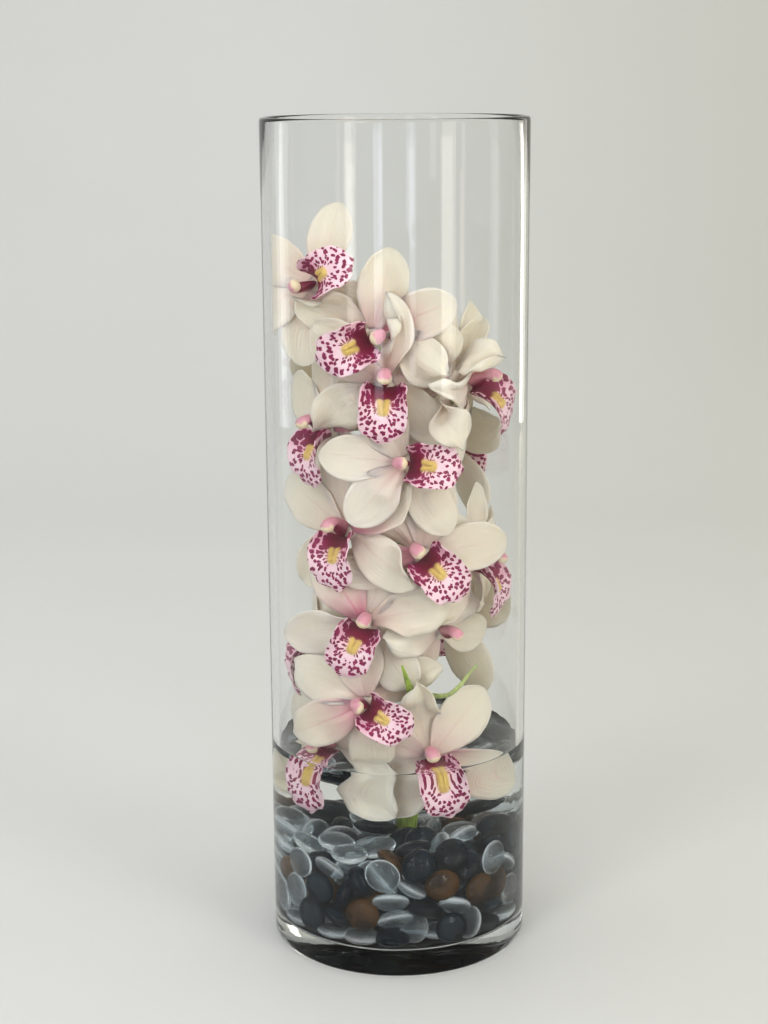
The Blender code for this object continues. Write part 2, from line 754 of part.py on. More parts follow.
def top_gems(draw):
    """The gems that lie over the top of the bed."""
    for reach, count in GEM_TOP_RINGS:
        for k in range(count):
            turn = 2 * math.pi * (k + draw.uniform(-GEM_TURN, GEM_TURN)) / count
            middle = Vector((reach * math.cos(turn), reach * math.sin(turn), GEM_TOP_MIDDLE))
            lean = [draw.uniform(-GEM_TOP_LEAN, GEM_TOP_LEAN) for _ in range(2)]
            yield make_gem(f"top_gem_{count}_{k}", middle, Vector((*lean, 1)).normalized())


def make_gems():
    """The bed of gems, fused round a smaller core, with a plain hole for the stem."""
    draw = random.Random(GEM_SEED)
    ends = (FOOT + GAP, GEM_CORE_TOP)
    rings = [turned_ring(GEM_CORE_RADIUS, height, GEM_CORE_SIDES) for height in ends]
    bed = mesh_object("glass_gems", *rings_to_solid(rings), "gems")
    gems = [*wall_gems(draw), *top_gems(draw)]
    for gem in gems:
        hold_in(gem)
    joined(bed, gems)
    path = [p for p in stem_path() if p.z < STEM_HOLE_TOP]
    path[0] = path[0] - Vector((0, 0, 1)) * GAP
    radii = [STEM_RADIUS[0] * MM + STEM_HOLE_ROOM] * len(path)
    hole = mesh_object("stem_hole", *tube(path, radii, STEM_HOLE_SIDES), "gems")
    return joined(bed, [hole], "DIFFERENCE")


def wet_points():
    """Points of the blooms and the stem that are under water, with room round them."""
    found = []
    for made in bpy.data.objects:
        if made.name.startswith(("bloom", "flower_stem")):
            mesh = made.data
            middles = [(mesh.vertices[a].co + mesh.vertices[b].co) / 2 for a, b in mesh.edge_keys]
            points = [v.co for v in mesh.vertices] + middles
            found += [p for p in points if p.z < WATER_LEVEL + WELL_MARGIN]
    return found


def make_water():
    """The water over the gems, with one plain hole for what stands in it."""
    outside = INNER_RADIUS - GAP
    low = GEM_TOP + GAP
    water = mesh_object("water", *rings_to_solid([
        turned_ring(outside, low), turned_ring(outside, WATER_LEVEL),
    ]), "water")
    step = 2 * math.pi / WELL_SIDES
    reach = [WELL_LEAST] * WELL_SIDES
    for p in wet_points():
        turn = math.atan2(p.y, p.x) % (2 * math.pi)
        radius = math.hypot(p.x, p.y) + WELL_MARGIN
        nearest = int(round(turn / step))
        for k in range(nearest - 1, nearest + 2):
            reach[k % WELL_SIDES] = max(reach[k % WELL_SIDES], radius / math.cos(step / 2))
    reach = [min(r, WELL_MOST) for r in reach]
    rings = []
    for height in (low - WELL_OVER, WATER_LEVEL + WELL_OVER):
        rings.append([
            Vector((r * math.cos(k * step), r * math.sin(k * step), height)) for k, r in enumerate(reach)
        ])
    well = mesh_object("well", *rings_to_solid(rings), "water")
    return joined(water, [well], "DIFFERENCE")


def main():
    clear_scene()
    make_vase()
    make_gems()
    make_stem()
    make_blooms()
    make_water()


main()
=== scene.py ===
"""A cymbidium orchid stem in a glass cylinder vase, dressed for a render.

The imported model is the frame. Each operator makes one piece, or one group of like pieces, over the solids
that it stands for: vase, water, gems, stem, tepals, lips and columns. The last one sets the stage.
The blooms are opened by the same steps as the solids, so that each surface lies where its solid does.
"""

import math
import random
from collections import namedtuple

import bpy
import numpy as np
from bpy.props import FloatProperty, FloatVectorProperty, IntProperty, PointerProperty
from mathutils import Matrix, Vector
from mathutils.kdtree import KDTree


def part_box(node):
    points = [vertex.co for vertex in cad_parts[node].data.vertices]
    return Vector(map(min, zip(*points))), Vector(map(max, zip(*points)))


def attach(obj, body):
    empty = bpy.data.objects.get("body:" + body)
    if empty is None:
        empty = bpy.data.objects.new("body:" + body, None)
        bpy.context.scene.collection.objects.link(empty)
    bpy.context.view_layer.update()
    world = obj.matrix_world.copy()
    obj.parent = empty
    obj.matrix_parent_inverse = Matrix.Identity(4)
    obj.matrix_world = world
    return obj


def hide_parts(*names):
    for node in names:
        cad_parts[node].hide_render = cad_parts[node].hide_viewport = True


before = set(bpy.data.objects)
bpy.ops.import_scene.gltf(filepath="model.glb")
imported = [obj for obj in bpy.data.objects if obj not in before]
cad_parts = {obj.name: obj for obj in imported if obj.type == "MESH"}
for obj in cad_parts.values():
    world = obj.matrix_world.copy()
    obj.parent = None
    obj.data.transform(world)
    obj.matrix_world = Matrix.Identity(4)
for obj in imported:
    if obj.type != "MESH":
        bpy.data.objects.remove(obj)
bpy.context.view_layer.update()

bl_info = {
    "name": "Orchid in a Glass Cylinder",
    "version": (1, 0, 0),
    "blender": (4, 5, 0),
    "location": "View3D > Sidebar > Orchid",
    "description": "Makes a cymbidium stem in a glass cylinder vase with water and glass gems",
    "category": "Add Mesh",
}

MM = 0.001
TINY = 1e-9
VASE_LOW, VASE_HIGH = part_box("vase")
VASE_HEIGHT = VASE_HIGH.z - VASE_LOW.z
VASE_RADIUS = (VASE_HIGH.x - VASE_LOW.x) / 2
WATER_LEVEL = 103 * MM
GEM_TOP = 70 * MM
WALL = 4 * MM
FOOT = 12 * MM
INNER_RADIUS = VASE_RADIUS - WALL
GAP = 0.3 * MM

# The blooms: the point that the middle of the lip takes, the way the bloom faces and how far it is rolled.
Bloom = namedtuple("Bloom", "x y z azimuth elevation roll size lip", defaults=(1, True))
BLOOMS = (
    Bloom(-32, -34, 337, -18, 12, 118, 0.86),
    Bloom(-22, -45, 303, -12, -4, -66, 0.92),
    Bloom(-6, -47, 275, -2, -4, -3, 0.95),
    Bloom(48, -17, 273, 62, 5, 27, 0.95),
    Bloom(-40, -30, 251, -52, 0, 6, 0.93),
    Bloom(16, -47, 249, 13, 8, 82, 0.88),
    Bloom(-29, -42, 204, -32, 0, 6, 0.95),
    Bloom(20, -46, 197, 10, 2, 42, 0.95),
    Bloom(47, -18, 183, 64, 0, -5, 0.88),
    Bloom(-21, -46, 161, -10, -2, -22, 0.92),
    Bloom(-49, -13, 143, -76, 0, 4, 0.95),
    Bloom(-6, -47, 126, 4, 0, 60, 0.88),
    Bloom(-39, -24, 88, -44, 2, 5, 0.95),
    Bloom(20, -42, 91, 10, 2, 14, 0.95),
    Bloom(10, -40, 284, -50, 40, 0, 0.85, False),
    Bloom(36, 34, 236, 133, 2, 10, 0.9),
    Bloom(-28, 42, 268, 213, 4, -12, 0.9),
    Bloom(26, 38, 146, 158, 0, 15, 0.95),
    Bloom(30, -28, 152, 40, -8, 24, 0.82, False),
)
LIP_MIDDLE = (0, -11, 13)

# A tepal: where it points, its length, half its width, how far it leans forward, how far its tip curls
# forward as a share of its length, and how far forward it is seated.
Tepal = namedtuple("Tepal", "angle length half_width lean curl seat")
TEPALS = (
    Tepal(90, 43, 12.4, -4, 0.10, -1.6),
    Tepal(36, 42, 13.2, -2, -0.06, -0.3),
    Tepal(144, 42, 13.2, -2, -0.06, -0.3),
    Tepal(-38, 43, 12.4, -10, 0.05, -1.6),
    Tepal(218, 43, 12.4, -10, 0.05, -1.6),
)
TEPAL_ROWS = 6
TEPAL_COLS = 7
TEPAL_THICKNESS = 0.9 * MM
TEPAL_ROOT = 3 * MM
WIDEST = 0.55
BASE_WIDTH = 0.2
TIP_WIDTH = 0.16
TIP_ROUND = 2.3
CUP = 0.16

# The lip, as rows from its claw to its tip: forward, up, half width across the surface, fold at the edge.
LipRow = namedtuple("LipRow", "forward up half_width fold")
LIP_ROWS = (
    LipRow(0.9, -2.8, 2.6, 30),
    LipRow(5.6, -3.8, 11.6, 74),
    LipRow(9.8, -6.2, 14.0, 72),
    LipRow(12.8, -10.0, 13.4, 55),
    LipRow(14.6, -14.6, 12.2, 30),
    LipRow(15.2, -19.4, 11.2, 4),
    LipRow(14.2, -24.0, 8.8, -14),
    LipRow(11.8, -27.8, 4.0, -22),
)
LIP_COLS = 5
LIP_THICKNESS = 0.9 * MM

# The column over the lip, as stations: forward, up and radius.
COLUMN = ((1.25, 3.6, 1.9), (7, 6.2, 2.4), (12, 7.0, 2.9), (15.8, 5.6, 3.2), (17.8, 3.4, 1.7))
OVARY = ((0.4, 3.4), (-2.2, 4.8), (-9, 1.9))

# The main stem, from its cut end to its tip, and its stalks to the blooms.
STEM_POINTS = (
    (0, 2, 15), (3, 0, 60), (7, -1, 105), (8, 0, 140), (4, 3, 190),
    (-1, 5, 240), (-8, 3, 285), (-15, -2, 315),
)
STEM_RADIUS = (4.2, 2.2)
STEM_STEPS = 18
STALK_RADIUS = 1.65
STALK_STEPS = 3
STALK_DROP = 16
STALK_NECK = 2
STALK_RISE = 0.35
STALK_REACH = 0.1
SPRAY_STEPS = 6
BRACT_LENGTH = 11
BRACT_WIDTHS = (2, 2.6, 0.4)
BRACT_OUT = 2 * MM
BRACT_DOWN = 3 * MM
BRACT_LEAN = 0.3
BRACT_CURL = 0.4
LONG_BRACT = ((8, -1, 121), (8, -18, 124), (7, -34, 133), (2, -44, 152))
LONG_BRACT_WIDTH = (1.4, 2.3, 2.3, 0.5)
BARE_STALK = ((8, -1, 128), (14, -24, 131), (25, -38, 136), (37, -37, 150))
BARE_STALK_RADIUS = (1.5, 1.3, 1.1, 0.7)

# How the blooms open: the room kept between two surfaces, and the number of steps.
ROOM = 4.4 * MM
BODY_ROOM = {"lip": 3.7, "column": 5.6, "stalk": 4.4, "stem": 5.8, "ovary": 6.4, "bract": 4}
WALL_ROOM = 1.1 * MM
WET_WALL_ROOM = 4.6 * MM
BED_ROOM = 3 * MM
OPEN_FROM = 0.3
OPEN_STEPS = 80
SETTLE_STEPS = 90
SEARCH_EVERY = 4
REACH = 7.5 * MM
OWN_ROOM = 6 * MM
TURNS = 3
PULL_TO_SHAPE = 0.02
STIFFNESS = 0.22
PUSH_SHARE = 0.25
PUSH_WHOLE = 0.6
MIDDLE_SHARE = 0.6


# Places and paths


def bloom_frame(bloom):
    """The bloom's right, up and forward directions, as the columns of a matrix, and its centre."""
    turn, tilt, roll = (math.radians(v) for v in (bloom.azimuth, bloom.elevation, bloom.roll))
    forward = Vector((
        math.sin(turn) * math.cos(tilt), -math.cos(turn) * math.cos(tilt), math.sin(tilt)
    ))
    level = Vector((math.cos(turn), math.sin(turn), 0))
    upright = forward.cross(level)
    right = math.cos(roll) * level + math.sin(roll) * upright
    up = math.cos(roll) * upright - math.sin(roll) * level
    axes = Matrix((right, up, forward)).transposed() * bloom.size
    return axes, Vector((bloom.x, bloom.y, bloom.z)) * MM - axes @ (Vector(LIP_MIDDLE) * MM)


def to_world(points, axes, centre):
    """Local points, an array of any shape of right, up and forward, placed in the vase."""
    turned = [sum(points[..., k] * axes[row][k] for k in range(3)) + centre[row] for row in range(3)]
    return np.stack(turned, axis=-1)


def curve_point(a, b, c, d, t):
    """The point a share t of the way from b to c on a Catmull-Rom curve through four points."""
    return 0.5 * (2 * b + (c - a) * t + (2 * a - 5 * b + 4 * c - d) * t**2 + (3 * b - a - 3 * c + d) * t**3)


def smooth_path(points, steps):
    """Points evenly counted along a Catmull-Rom curve through the given ones."""
    padded = [2 * points[0] - points[1], *points, 2 * points[-1] - points[-2]]
    spans = len(points) - 1
    found = []
    for k in range(steps + 1):
        at = min(k * spans / steps, spans - TINY)
        i, t = int(at), at - int(at)
        found.append(curve_point(*padded[i:i + 4], t))
    return found


def along_path(values, steps):
    """Values evenly counted along a row of given ones."""
    spans = len(values) - 1
    found = []
    for k in range(steps + 1):
        i = min(k * spans // steps, spans - 1)
        t = k * spans / steps - i
        found.append(values[i] * (1 - t) + values[i + 1] * t)
    return found


def in_metres(points):
    """Points given in millimetres, as vectors in metres."""
    return [Vector(p) * MM for p in points]


def stem_path():
    """The middle line of the main stem."""
    return smooth_path(in_metres(STEM_POINTS), STEM_STEPS)


def stem_point(height):
    """The point of the main stem at a height."""
    path = stem_path()
    for a, b in zip(path, path[1:]):
        if a.z <= height <= b.z:
            return a.lerp(b, (height - a.z) / (b.z - a.z))
    return path[-1] if height > path[-1].z else path[0]


def stalk_path(bloom):
    """A stalk from the main stem up to the back of a bloom's ovary."""
    axes, centre = bloom_frame(bloom)
    forward = axes.col[2].normalized()
    tip = centre + axes.col[2] * OVARY[-1][0] * MM - forward * GAP
    end = tip - forward * STALK_NECK * MM
    start = stem_point(min(end.z - STALK_DROP * MM, STEM_POINTS[-1][2] * MM))
    reach = (end - start).length
    lead = start + Vector((0, 0, 1)) * reach * STALK_RISE + (end - start) * STALK_REACH
    bend = end - forward * reach * STALK_RISE
    path = []
    for k in range(STALK_STEPS + 1):
        t = k / STALK_STEPS
        path.append(
            start * (1 - t) ** 3 + lead * 3 * t * (1 - t) ** 2 + bend * 3 * t**2 * (1 - t) + end * t**3
        )
    return [*path, tip]


def bract_path(bloom):
    """The middle line of the small bract under a bloom's stalk, from its root to its tip."""
    stalk = stalk_path(bloom)
    out = (stalk[-1] - stalk[0]) * Vector((1, 1, 0))
    out.normalize()
    up = (Vector((0, 0, 1)) + out * BRACT_LEAN).normalized()
    root = stalk[0] + out * BRACT_OUT - up * BRACT_DOWN
    return [root + (up * k + out * BRACT_CURL * k**1.5) * BRACT_LENGTH * MM for k in (0, 0.5, 1)]


def between(path, parts):
    """The points of a path with more set evenly between them."""
    return [a.lerp(b, k / parts) for a, b in zip(path, path[1:]) for k in range(parts)] + [path[-1]]


def distance(a, b):
    """The way from each point to another, and how long it is."""
    apart = b - a
    return apart, np.sqrt(apart[..., 0] ** 2 + apart[..., 1] ** 2 + apart[..., 2] ** 2)


# Opening the blooms


def width_at(share):
    """A tepal's width along its length, as a share of its widest."""
    if share < WIDEST:
        return BASE_WIDTH + (1 - BASE_WIDTH) * math.sin(math.pi / 2 * share / WIDEST)
    beyond = (share - WIDEST) / (1 - WIDEST)
    return max(TIP_WIDTH, math.sqrt(1 - min(beyond, 1) ** TIP_ROUND))


def tepal_grid(tepal):
    """A flat-lying tepal in its bloom's own directions."""
    angle, lean = math.radians(tepal.angle), math.radians(tepal.lean)
    out = np.array((math.cos(angle), math.sin(angle), 0))
    side = np.array((-math.sin(angle), math.cos(angle), 0))
    front = np.array((0.0, 0.0, 1.0))
    along = math.cos(lean) * out + math.sin(lean) * front
    lift = math.cos(lean) * front - math.sin(lean) * out
    grid = np.zeros((TEPAL_ROWS, TEPAL_COLS, 3))
    for i in range(TEPAL_ROWS):
        share = i / (TEPAL_ROWS - 1)
        half = tepal.half_width * MM * width_at(share)
        for j in range(TEPAL_COLS):
            t = 2 * j / (TEPAL_COLS - 1) - 1
            rise = tepal.curl * tepal.length * MM * share**2 + CUP * half * t**2
            grid[i, j] = (
                along * (TEPAL_ROOT + tepal.length * MM * share)
                + side * half * t + lift * rise + front * tepal.seat * MM
            )
    return grid


def lip_grid(rows, cols):
    """The lip in its bloom's own directions: its sides fold up about the column and its tip turns down."""
    centre = [np.array((0.0, row.up, row.forward)) * MM for row in rows]
    grid = np.zeros((len(rows), cols, 3))
    for i, row in enumerate(rows):
        ahead = centre[min(i + 1, len(rows) - 1)] - centre[max(i - 1, 0)]
        size = math.sqrt(ahead[1] ** 2 + ahead[2] ** 2)
        inward = np.array((0.0, ahead[2], -ahead[1])) / size
        fold = math.radians(row.fold)
        for j in range(cols):
            t = 2 * j / (cols - 1) - 1
            turn = fold * abs(t)
            half = row.half_width * MM
            out = half * abs(t) * (math.sin(turn) / turn if turn else 1)
            rise = half * abs(t) * ((1 - math.cos(turn)) / turn if turn else 0)
            grid[i, j] = centre[i] + inward * rise + np.array((math.copysign(out, t), 0, 0))
    return grid


def column_path():
    """The middle line of a column, in its bloom's own directions."""
    return [Vector((0, up, forward)) * MM for forward, up, _ in COLUMN]


def obstacles():
    """Points on all that the tepals bend clear of, the bloom that each belongs to and the room it needs."""
    points, owners, rooms = [], [], []

    def add_points(number, kind, found):
        points.extend(map(tuple, found))
        owners.extend([number] * len(found))
        rooms.extend([BODY_ROOM[kind] * MM] * len(found))

    for number, bloom in enumerate(BLOOMS):
        axes, centre = bloom_frame(bloom)
        if bloom.lip:
            lip = with_middles(lip_grid(LIP_ROWS, 2 * LIP_COLS - 1)[None])
            add_points(number, "lip", to_world(lip, axes, centre).reshape(-1, 3))
        add_points(number, "column", [centre + axes @ p for p in between(column_path(), 2)])
        add_points(number, "ovary", [centre + axes.col[2] * forward * MM for forward, _ in OVARY])
        add_points(number, "stalk", between(stalk_path(bloom), 3))
        add_points(-1, "bract", between(bract_path(bloom), 2))
    add_points(-1, "stem", between(stem_path(), 4))
    add_points(-1, "bract", between(smooth_path(in_metres(LONG_BRACT), SPRAY_STEPS), 3))
    add_points(-1, "stalk", between(smooth_path(in_metres(BARE_STALK), SPRAY_STEPS), 3))
    return np.array(points), np.array(owners), np.array(rooms)


def pairs_within(points, every, within):
    """Each point with every point that lies within a distance of it, as two rows of numbers."""
    tree = KDTree(len(every))
    for k, point in enumerate(every):
        tree.insert(point, k)
    tree.balance()
    first, second = [], []
    for k, point in enumerate(points):
        found = [other for _, other, _ in tree.find_range(point, within)]
        first += [k] * len(found)
        second += found
    return np.array(first), np.array(second)


def close_pairs(points, fixed, owner, fixed_owner, rest_room):
    """Pairs of a moving point with another point near it, leaving out those that rest side by side."""
    tepal = np.concatenate([owner[1], np.full(len(fixed), -1)])
    bloom = np.concatenate([owner[0], fixed_owner])
    first, second = pairs_within(points, np.concatenate([points, fixed]), REACH)
    _, at_rest = distance(rest_room[first], rest_room[second])
    own = (bloom[first] == bloom[second]) & (at_rest < OWN_ROOM)
    keep = (tepal[first] != tepal[second]) & ~own
    return first[keep], second[keep]


def push_apart(points, fixed, rooms, pairs):
    """How far each point moves to be out of the other points' room."""
    first, second = pairs
    every = np.concatenate([points, fixed])
    room = np.concatenate([np.full(len(points), ROOM), rooms])[second]
    apart, gap = distance(every[first], every[second])
    near = (gap < room) & (gap > TINY)
    first, second, apart, gap, room = first[near], second[near], apart[near], gap[near], room[near]
    share = np.where(second < len(points), PUSH_SHARE, PUSH_WHOLE)
    move = apart * ((gap - room) / gap * share)[:, None]
    total = [np.bincount(first, weights=move[:, k], minlength=len(points)) for k in range(3)]
    return np.stack(total, axis=-1)


def with_middles(grid):
    """The grids of points with a row set between each two rows."""
    fine = np.zeros((len(grid), 2 * grid.shape[1] - 1, *grid.shape[2:]))
    fine[:, ::2] = grid
    fine[:, 1::2] = (grid[:, :-1] + grid[:, 1:]) / 2
    return fine


def keep_lengths(grid, rest, stiffness):
    """Pulls each tepal's mesh back to its own lengths, along, across, slantwise and over two cells."""
    spans = (
        ((slice(None, -1), slice(None)), (slice(1, None), slice(None))),
        ((slice(None), slice(None, -1)), (slice(None), slice(1, None))),
        ((slice(None, -1), slice(None, -1)), (slice(1, None), slice(1, None))),
        ((slice(1, None), slice(None, -1)), (slice(None, -1), slice(1, None))),
        ((slice(None, -2), slice(None)), (slice(2, None), slice(None))),
        ((slice(None), slice(None, -2)), (slice(None), slice(2, None))),
    )
    for a, b in spans:
        a, b = (slice(None), *a), (slice(None), *b)
        _, wanted = distance(rest[a], rest[b])
        apart, gap = distance(grid[a], grid[b])
        move = apart * ((gap - wanted) / gap * stiffness)[..., None]
        grid[a] += move
        grid[b] -= move


def keep_inside(grid):
    """Holds points off the glass and above the gems. Under water they keep a wider room to the glass."""
    room = np.where(grid[..., 2] < WATER_LEVEL + BED_ROOM, WET_WALL_ROOM, WALL_ROOM)
    radius = np.sqrt(grid[..., 0] ** 2 + grid[..., 1] ** 2)
    shrink = np.minimum(1, (INNER_RADIUS - room) / np.maximum(radius, TINY))
    grid[..., 0] *= shrink
    grid[..., 1] *= shrink
    grid[..., 2] = np.maximum(grid[..., 2], GEM_TOP + BED_ROOM)


def open_blooms():
    """Every tepal's grid of points, after the blooms have opened from small buds to their full size."""
    flat, centres, numbers = [], [], []
    for number, bloom in enumerate(BLOOMS):
        axes, centre = bloom_frame(bloom)
        for tepal in TEPALS:
            flat.append(to_world(tepal_grid(tepal), axes, centre))
            centres.append(tuple(centre))
            numbers.append(number)
    flat = np.array(flat)
    centres = np.array(centres)[:, None, None, :]
    cells = (2 * TEPAL_ROWS - 1) * TEPAL_COLS
    owner = (np.repeat(numbers, cells), np.repeat(np.arange(len(flat)), cells))
    fixed, fixed_owner, rooms = obstacles()
    rest_room = np.concatenate([with_middles(flat).reshape(-1, 3), fixed])
    grid = centres + (flat - centres) * OPEN_FROM
    before = OPEN_FROM
    for step in range(1, OPEN_STEPS + SETTLE_STEPS):
        size = OPEN_FROM + (1 - OPEN_FROM) * min(1, step / OPEN_STEPS)
        rest = centres + (flat - centres) * size
        grid = centres + (grid - centres) * (size / before)
        before = size
        if step % SEARCH_EVERY == 1:
            points = with_middles(grid).reshape(-1, 3)
            pairs = close_pairs(points, fixed, owner, fixed_owner, rest_room)
        for _ in range(TURNS):
            grid += (rest - grid) * PULL_TO_SHAPE
            keep_lengths(grid, rest, STIFFNESS)
            fine = with_middles(grid)
            move = push_apart(fine.reshape(-1, 3), fixed, rooms, pairs).reshape(fine.shape)
            grid += move[:, ::2]
            grid[:, :-1] += move[:, 1::2] * MIDDLE_SHARE
            grid[:, 1:] += move[:, 1::2] * MIDDLE_SHARE
            keep_inside(grid)
            grid[:, 0] = rest[:, 0]
    return np.round(grid, 5)


# Mesh making


class Heap:
    """Points, faces and point values of several closed shells that become one piece."""

    def __init__(self):
        self.points, self.faces, self.values, self.count = [], [], {}, 0

    def add(self, points, faces, **values):
        points = np.asarray(points, dtype=float).reshape(-1, 3)
        self.points.append(points)
        self.faces += [tuple(int(i) + self.count for i in face) for face in faces]
        self.count += len(points)
        for name, value in values.items():
            spread = np.broadcast_to(np.asarray(value, dtype=float).reshape(-1), (len(points),))
            self.values.setdefault(name, []).append(spread)

    def add_tube(self, path, radii, sides, **values):
        """Adds a closed tube, with how far along it each point lies unless that is given."""
        points, faces, share = tube(path, radii, sides)
        self.add(points, faces, **{"along": share, **values})

    def piece(self, name, finish, node, slot):
        """Makes the mesh object, rides it on the body and puts it in the place of its CAD node."""
        mesh = bpy.data.meshes.new(name)
        mesh.from_pydata(np.concatenate(self.points).tolist(), [], self.faces)
        mesh.shade_smooth()
        for key, parts in self.values.items():
            attribute = mesh.attributes.new(key, "FLOAT", "POINT")
            attribute.data.foreach_set("value", np.concatenate(parts).astype(np.float32))
        mesh.materials.append(finish)
        made = bpy.data.objects.new(name, mesh)
        bpy.context.scene.collection.objects.link(made)
        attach(made, "root")
        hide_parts(node)


def ring_faces(rings, count):
    """Faces of a tube through rings of points, closed at both ends."""
    faces = []
    for k in range(rings - 1):
        for i in range(count):
            a, b = k * count + i, k * count + (i + 1) % count
            faces.append((a, b, b + count, a + count))
    faces.append(tuple(reversed(range(count))))
    faces.append(tuple(range((rings - 1) * count, rings * count)))
    return faces


def turned(outline, sides, ripple=None):
    """A closed turned shape from an outline of radius and height, its radius varied by ripple."""
    turns = np.linspace(0, 2 * math.pi, sides, endpoint=False)
    points = []
    for radius, height in outline:
        reach = radius - (ripple(turns) if ripple and radius > INNER_RADIUS + WALL / 2 else 0)
        points.append(np.stack([reach * np.cos(turns), reach * np.sin(turns), turns * 0 + height], -1))
    return np.array(points).reshape(-1, 3), ring_faces(len(outline), sides)


CORNER_STEPS = 6


def quarter_turn(steps, start=0):
    """Even turns over a quarter of a circle, from an angle in degrees."""
    return [math.radians(start + 90 * k / steps) for k in range(steps + 1)]


def quarter(radius, height, round_by, start):
    """Outline points of a rounded edge about a middle, from an angle in degrees."""
    turns = quarter_turn(CORNER_STEPS, start)
    return [(radius + round_by * math.cos(a), height + round_by * math.sin(a)) for a in turns]


def tube(path, radii, sides):
    """A closed tube along a path, with its rings kept from twisting, and each point's share along it."""
    rings, share = [], []
    side = None
    for k, point in enumerate(path):
        ahead = (path[min(k + 1, len(path) - 1)] - path[max(k - 1, 0)]).normalized()
        if side is None:
            side = ahead.orthogonal().normalized()
        side = (side - ahead * side.dot(ahead)).normalized()
        up = ahead.cross(side)
        turns = [2 * math.pi * i / sides for i in range(sides)]
        rings += [point + radii[k] * (math.cos(a) * side + math.sin(a) * up) for a in turns]
        share += [k / (len(path) - 1)] * sides
    return np.array([tuple(p) for p in rings]), ring_faces(len(path), sides), np.array(share)


def grid_normals(grid):
    """The direction square to a grid of points at each of them."""
    normal = np.cross(np.gradient(grid, axis=0), np.gradient(grid, axis=1))
    return normal / np.maximum(np.linalg.norm(normal, axis=-1, keepdims=True), TINY)


def blade(grid, half):
    """A closed blade about a grid of points, with half its thickness given for each point."""
    rows, cols = grid.shape[:2]
    off = grid_normals(grid) * half[..., None]
    points = np.concatenate([(grid + off).reshape(-1, 3), (grid - off).reshape(-1, 3)])
    count = rows * cols
    faces = []
    for i in range(rows - 1):
        for j in range(cols - 1):
            a, b = i * cols + j, i * cols + j + 1
            c, d = b + cols, a + cols
            faces += [(a, d, c, b), (a + count, b + count, c + count, d + count)]
    rim = list(range(cols))
    rim += [i * cols + cols - 1 for i in range(1, rows)]
    rim += [(rows - 1) * cols + j for j in range(cols - 2, -1, -1)]
    rim += [i * cols for i in range(rows - 2, 0, -1)]
    faces += [(a, b, b + count, a + count) for a, b in zip(rim, rim[1:] + rim[:1])]
    return points, faces


def twice(values):
    """Values of a grid given to both faces of its blade."""
    return np.concatenate([values.reshape(-1), values.reshape(-1)])


def through(points, at):
    """Points along smooth curves through the rows of a grid, at places counted in rows."""
    padded = np.concatenate([2 * points[:1] - points[1:2], points, 2 * points[-1:] - points[-2:-1]])
    i = np.clip(np.floor(at), 0, len(points) - 2).astype(int)
    t = (at - i).reshape(-1, *[1] * (points.ndim - 1))
    return curve_point(*(padded[i + k] for k in range(4)), t)


def across_rows(rows, at):
    """Points along a smooth curve through each row of a grid, at places of that row's own."""
    padded = np.concatenate(
        [2 * rows[:, :1] - rows[:, 1:2], rows, 2 * rows[:, -1:] - rows[:, -2:-1]], axis=1
    )
    i = np.clip(np.floor(at), 0, rows.shape[1] - 2).astype(int)
    t = (at - i)[..., None]
    lines = np.arange(len(rows))[:, None]
    return curve_point(*(padded[lines, i + k] for k in range(4)), t)


def soft_step(value, low, high):
    """Nought up to low, one from high on, and a smooth rise between."""
    t = np.clip((value - low) / (high - low), 0, 1)
    return t * t * (3 - 2 * t)


# Finishes


def new_finish(name):
    """An empty node material with its tree and output."""
    made = bpy.data.materials.new(name)
    made.use_nodes = True
    tree = made.node_tree
    tree.nodes.clear()
    return made, tree, tree.nodes.new("ShaderNodeOutputMaterial")


def grow(tree, kind, sockets=None, **settings):
    """A node with its settings, and its sockets linked or set."""
    made = tree.nodes.new(kind)
    for key, value in settings.items():
        setattr(made, key, value)
    for key, value in (sockets or {}).items():
        if isinstance(value, bpy.types.NodeSocket):
            tree.links.new(value, made.inputs[key])
        else:
            made.inputs[key].default_value = value
    return made


def calc(tree, operation, *values, clamp=False):
    """The result of one step of arithmetic on values or sockets."""
    sockets = dict(enumerate(values))
    return grow(tree, "ShaderNodeMath", sockets, operation=operation, use_clamp=clamp).outputs[0]


def times(tree, first, second):
    return calc(tree, "MULTIPLY", first, second)


def plus(tree, first, second, clamp=False):
    return calc(tree, "ADD", first, second, clamp=clamp)


def minus(tree, first, second, clamp=False):
    return calc(tree, "SUBTRACT", first, second, clamp=clamp)


def blend(tree, factor, first, second):
    """Two colours mixed by a factor."""
    first, second = (c if isinstance(c, bpy.types.NodeSocket) else (*c[:3], 1) for c in (first, second))
    return grow(tree, "ShaderNodeMix", {0: factor, 6: first, 7: second}, data_type="RGBA").outputs[2]


def point_value(tree, name):
    """A value that the points of the mesh carry."""
    return grow(tree, "ShaderNodeAttribute", attribute_name=name).outputs["Fac"]


def place(tree, x, y, z):
    """Three values as one place."""
    return grow(tree, "ShaderNodeCombineXYZ", {0: x, 1: y, 2: z}).outputs[0]


def noise(tree, where, scale, detail=2.0):
    """Soft random clouds, from nought to one."""
    return grow(
        tree, "ShaderNodeTexNoise", {"Vector": where, "Scale": scale, "Detail": detail}
    ).outputs["Fac"]


def spread(tree, value, low, high):
    """A value brought from low to high onto nought to one."""
    return grow(
        tree, "ShaderNodeMapRange", {0: value, 1: low, 2: high}, interpolation_type="SMOOTHSTEP"
    ).outputs[0]


def bumps(tree, height, depth):
    """The normal of a surface with bumps of a depth in metres."""
    return grow(tree, "ShaderNodeBump", {"Height": height, "Distance": depth, "Strength": 1.0}).outputs[0]


def body_place(tree):
    """The place on the piece itself, in metres."""
    return grow(tree, "ShaderNodeTexCoord").outputs["Object"]


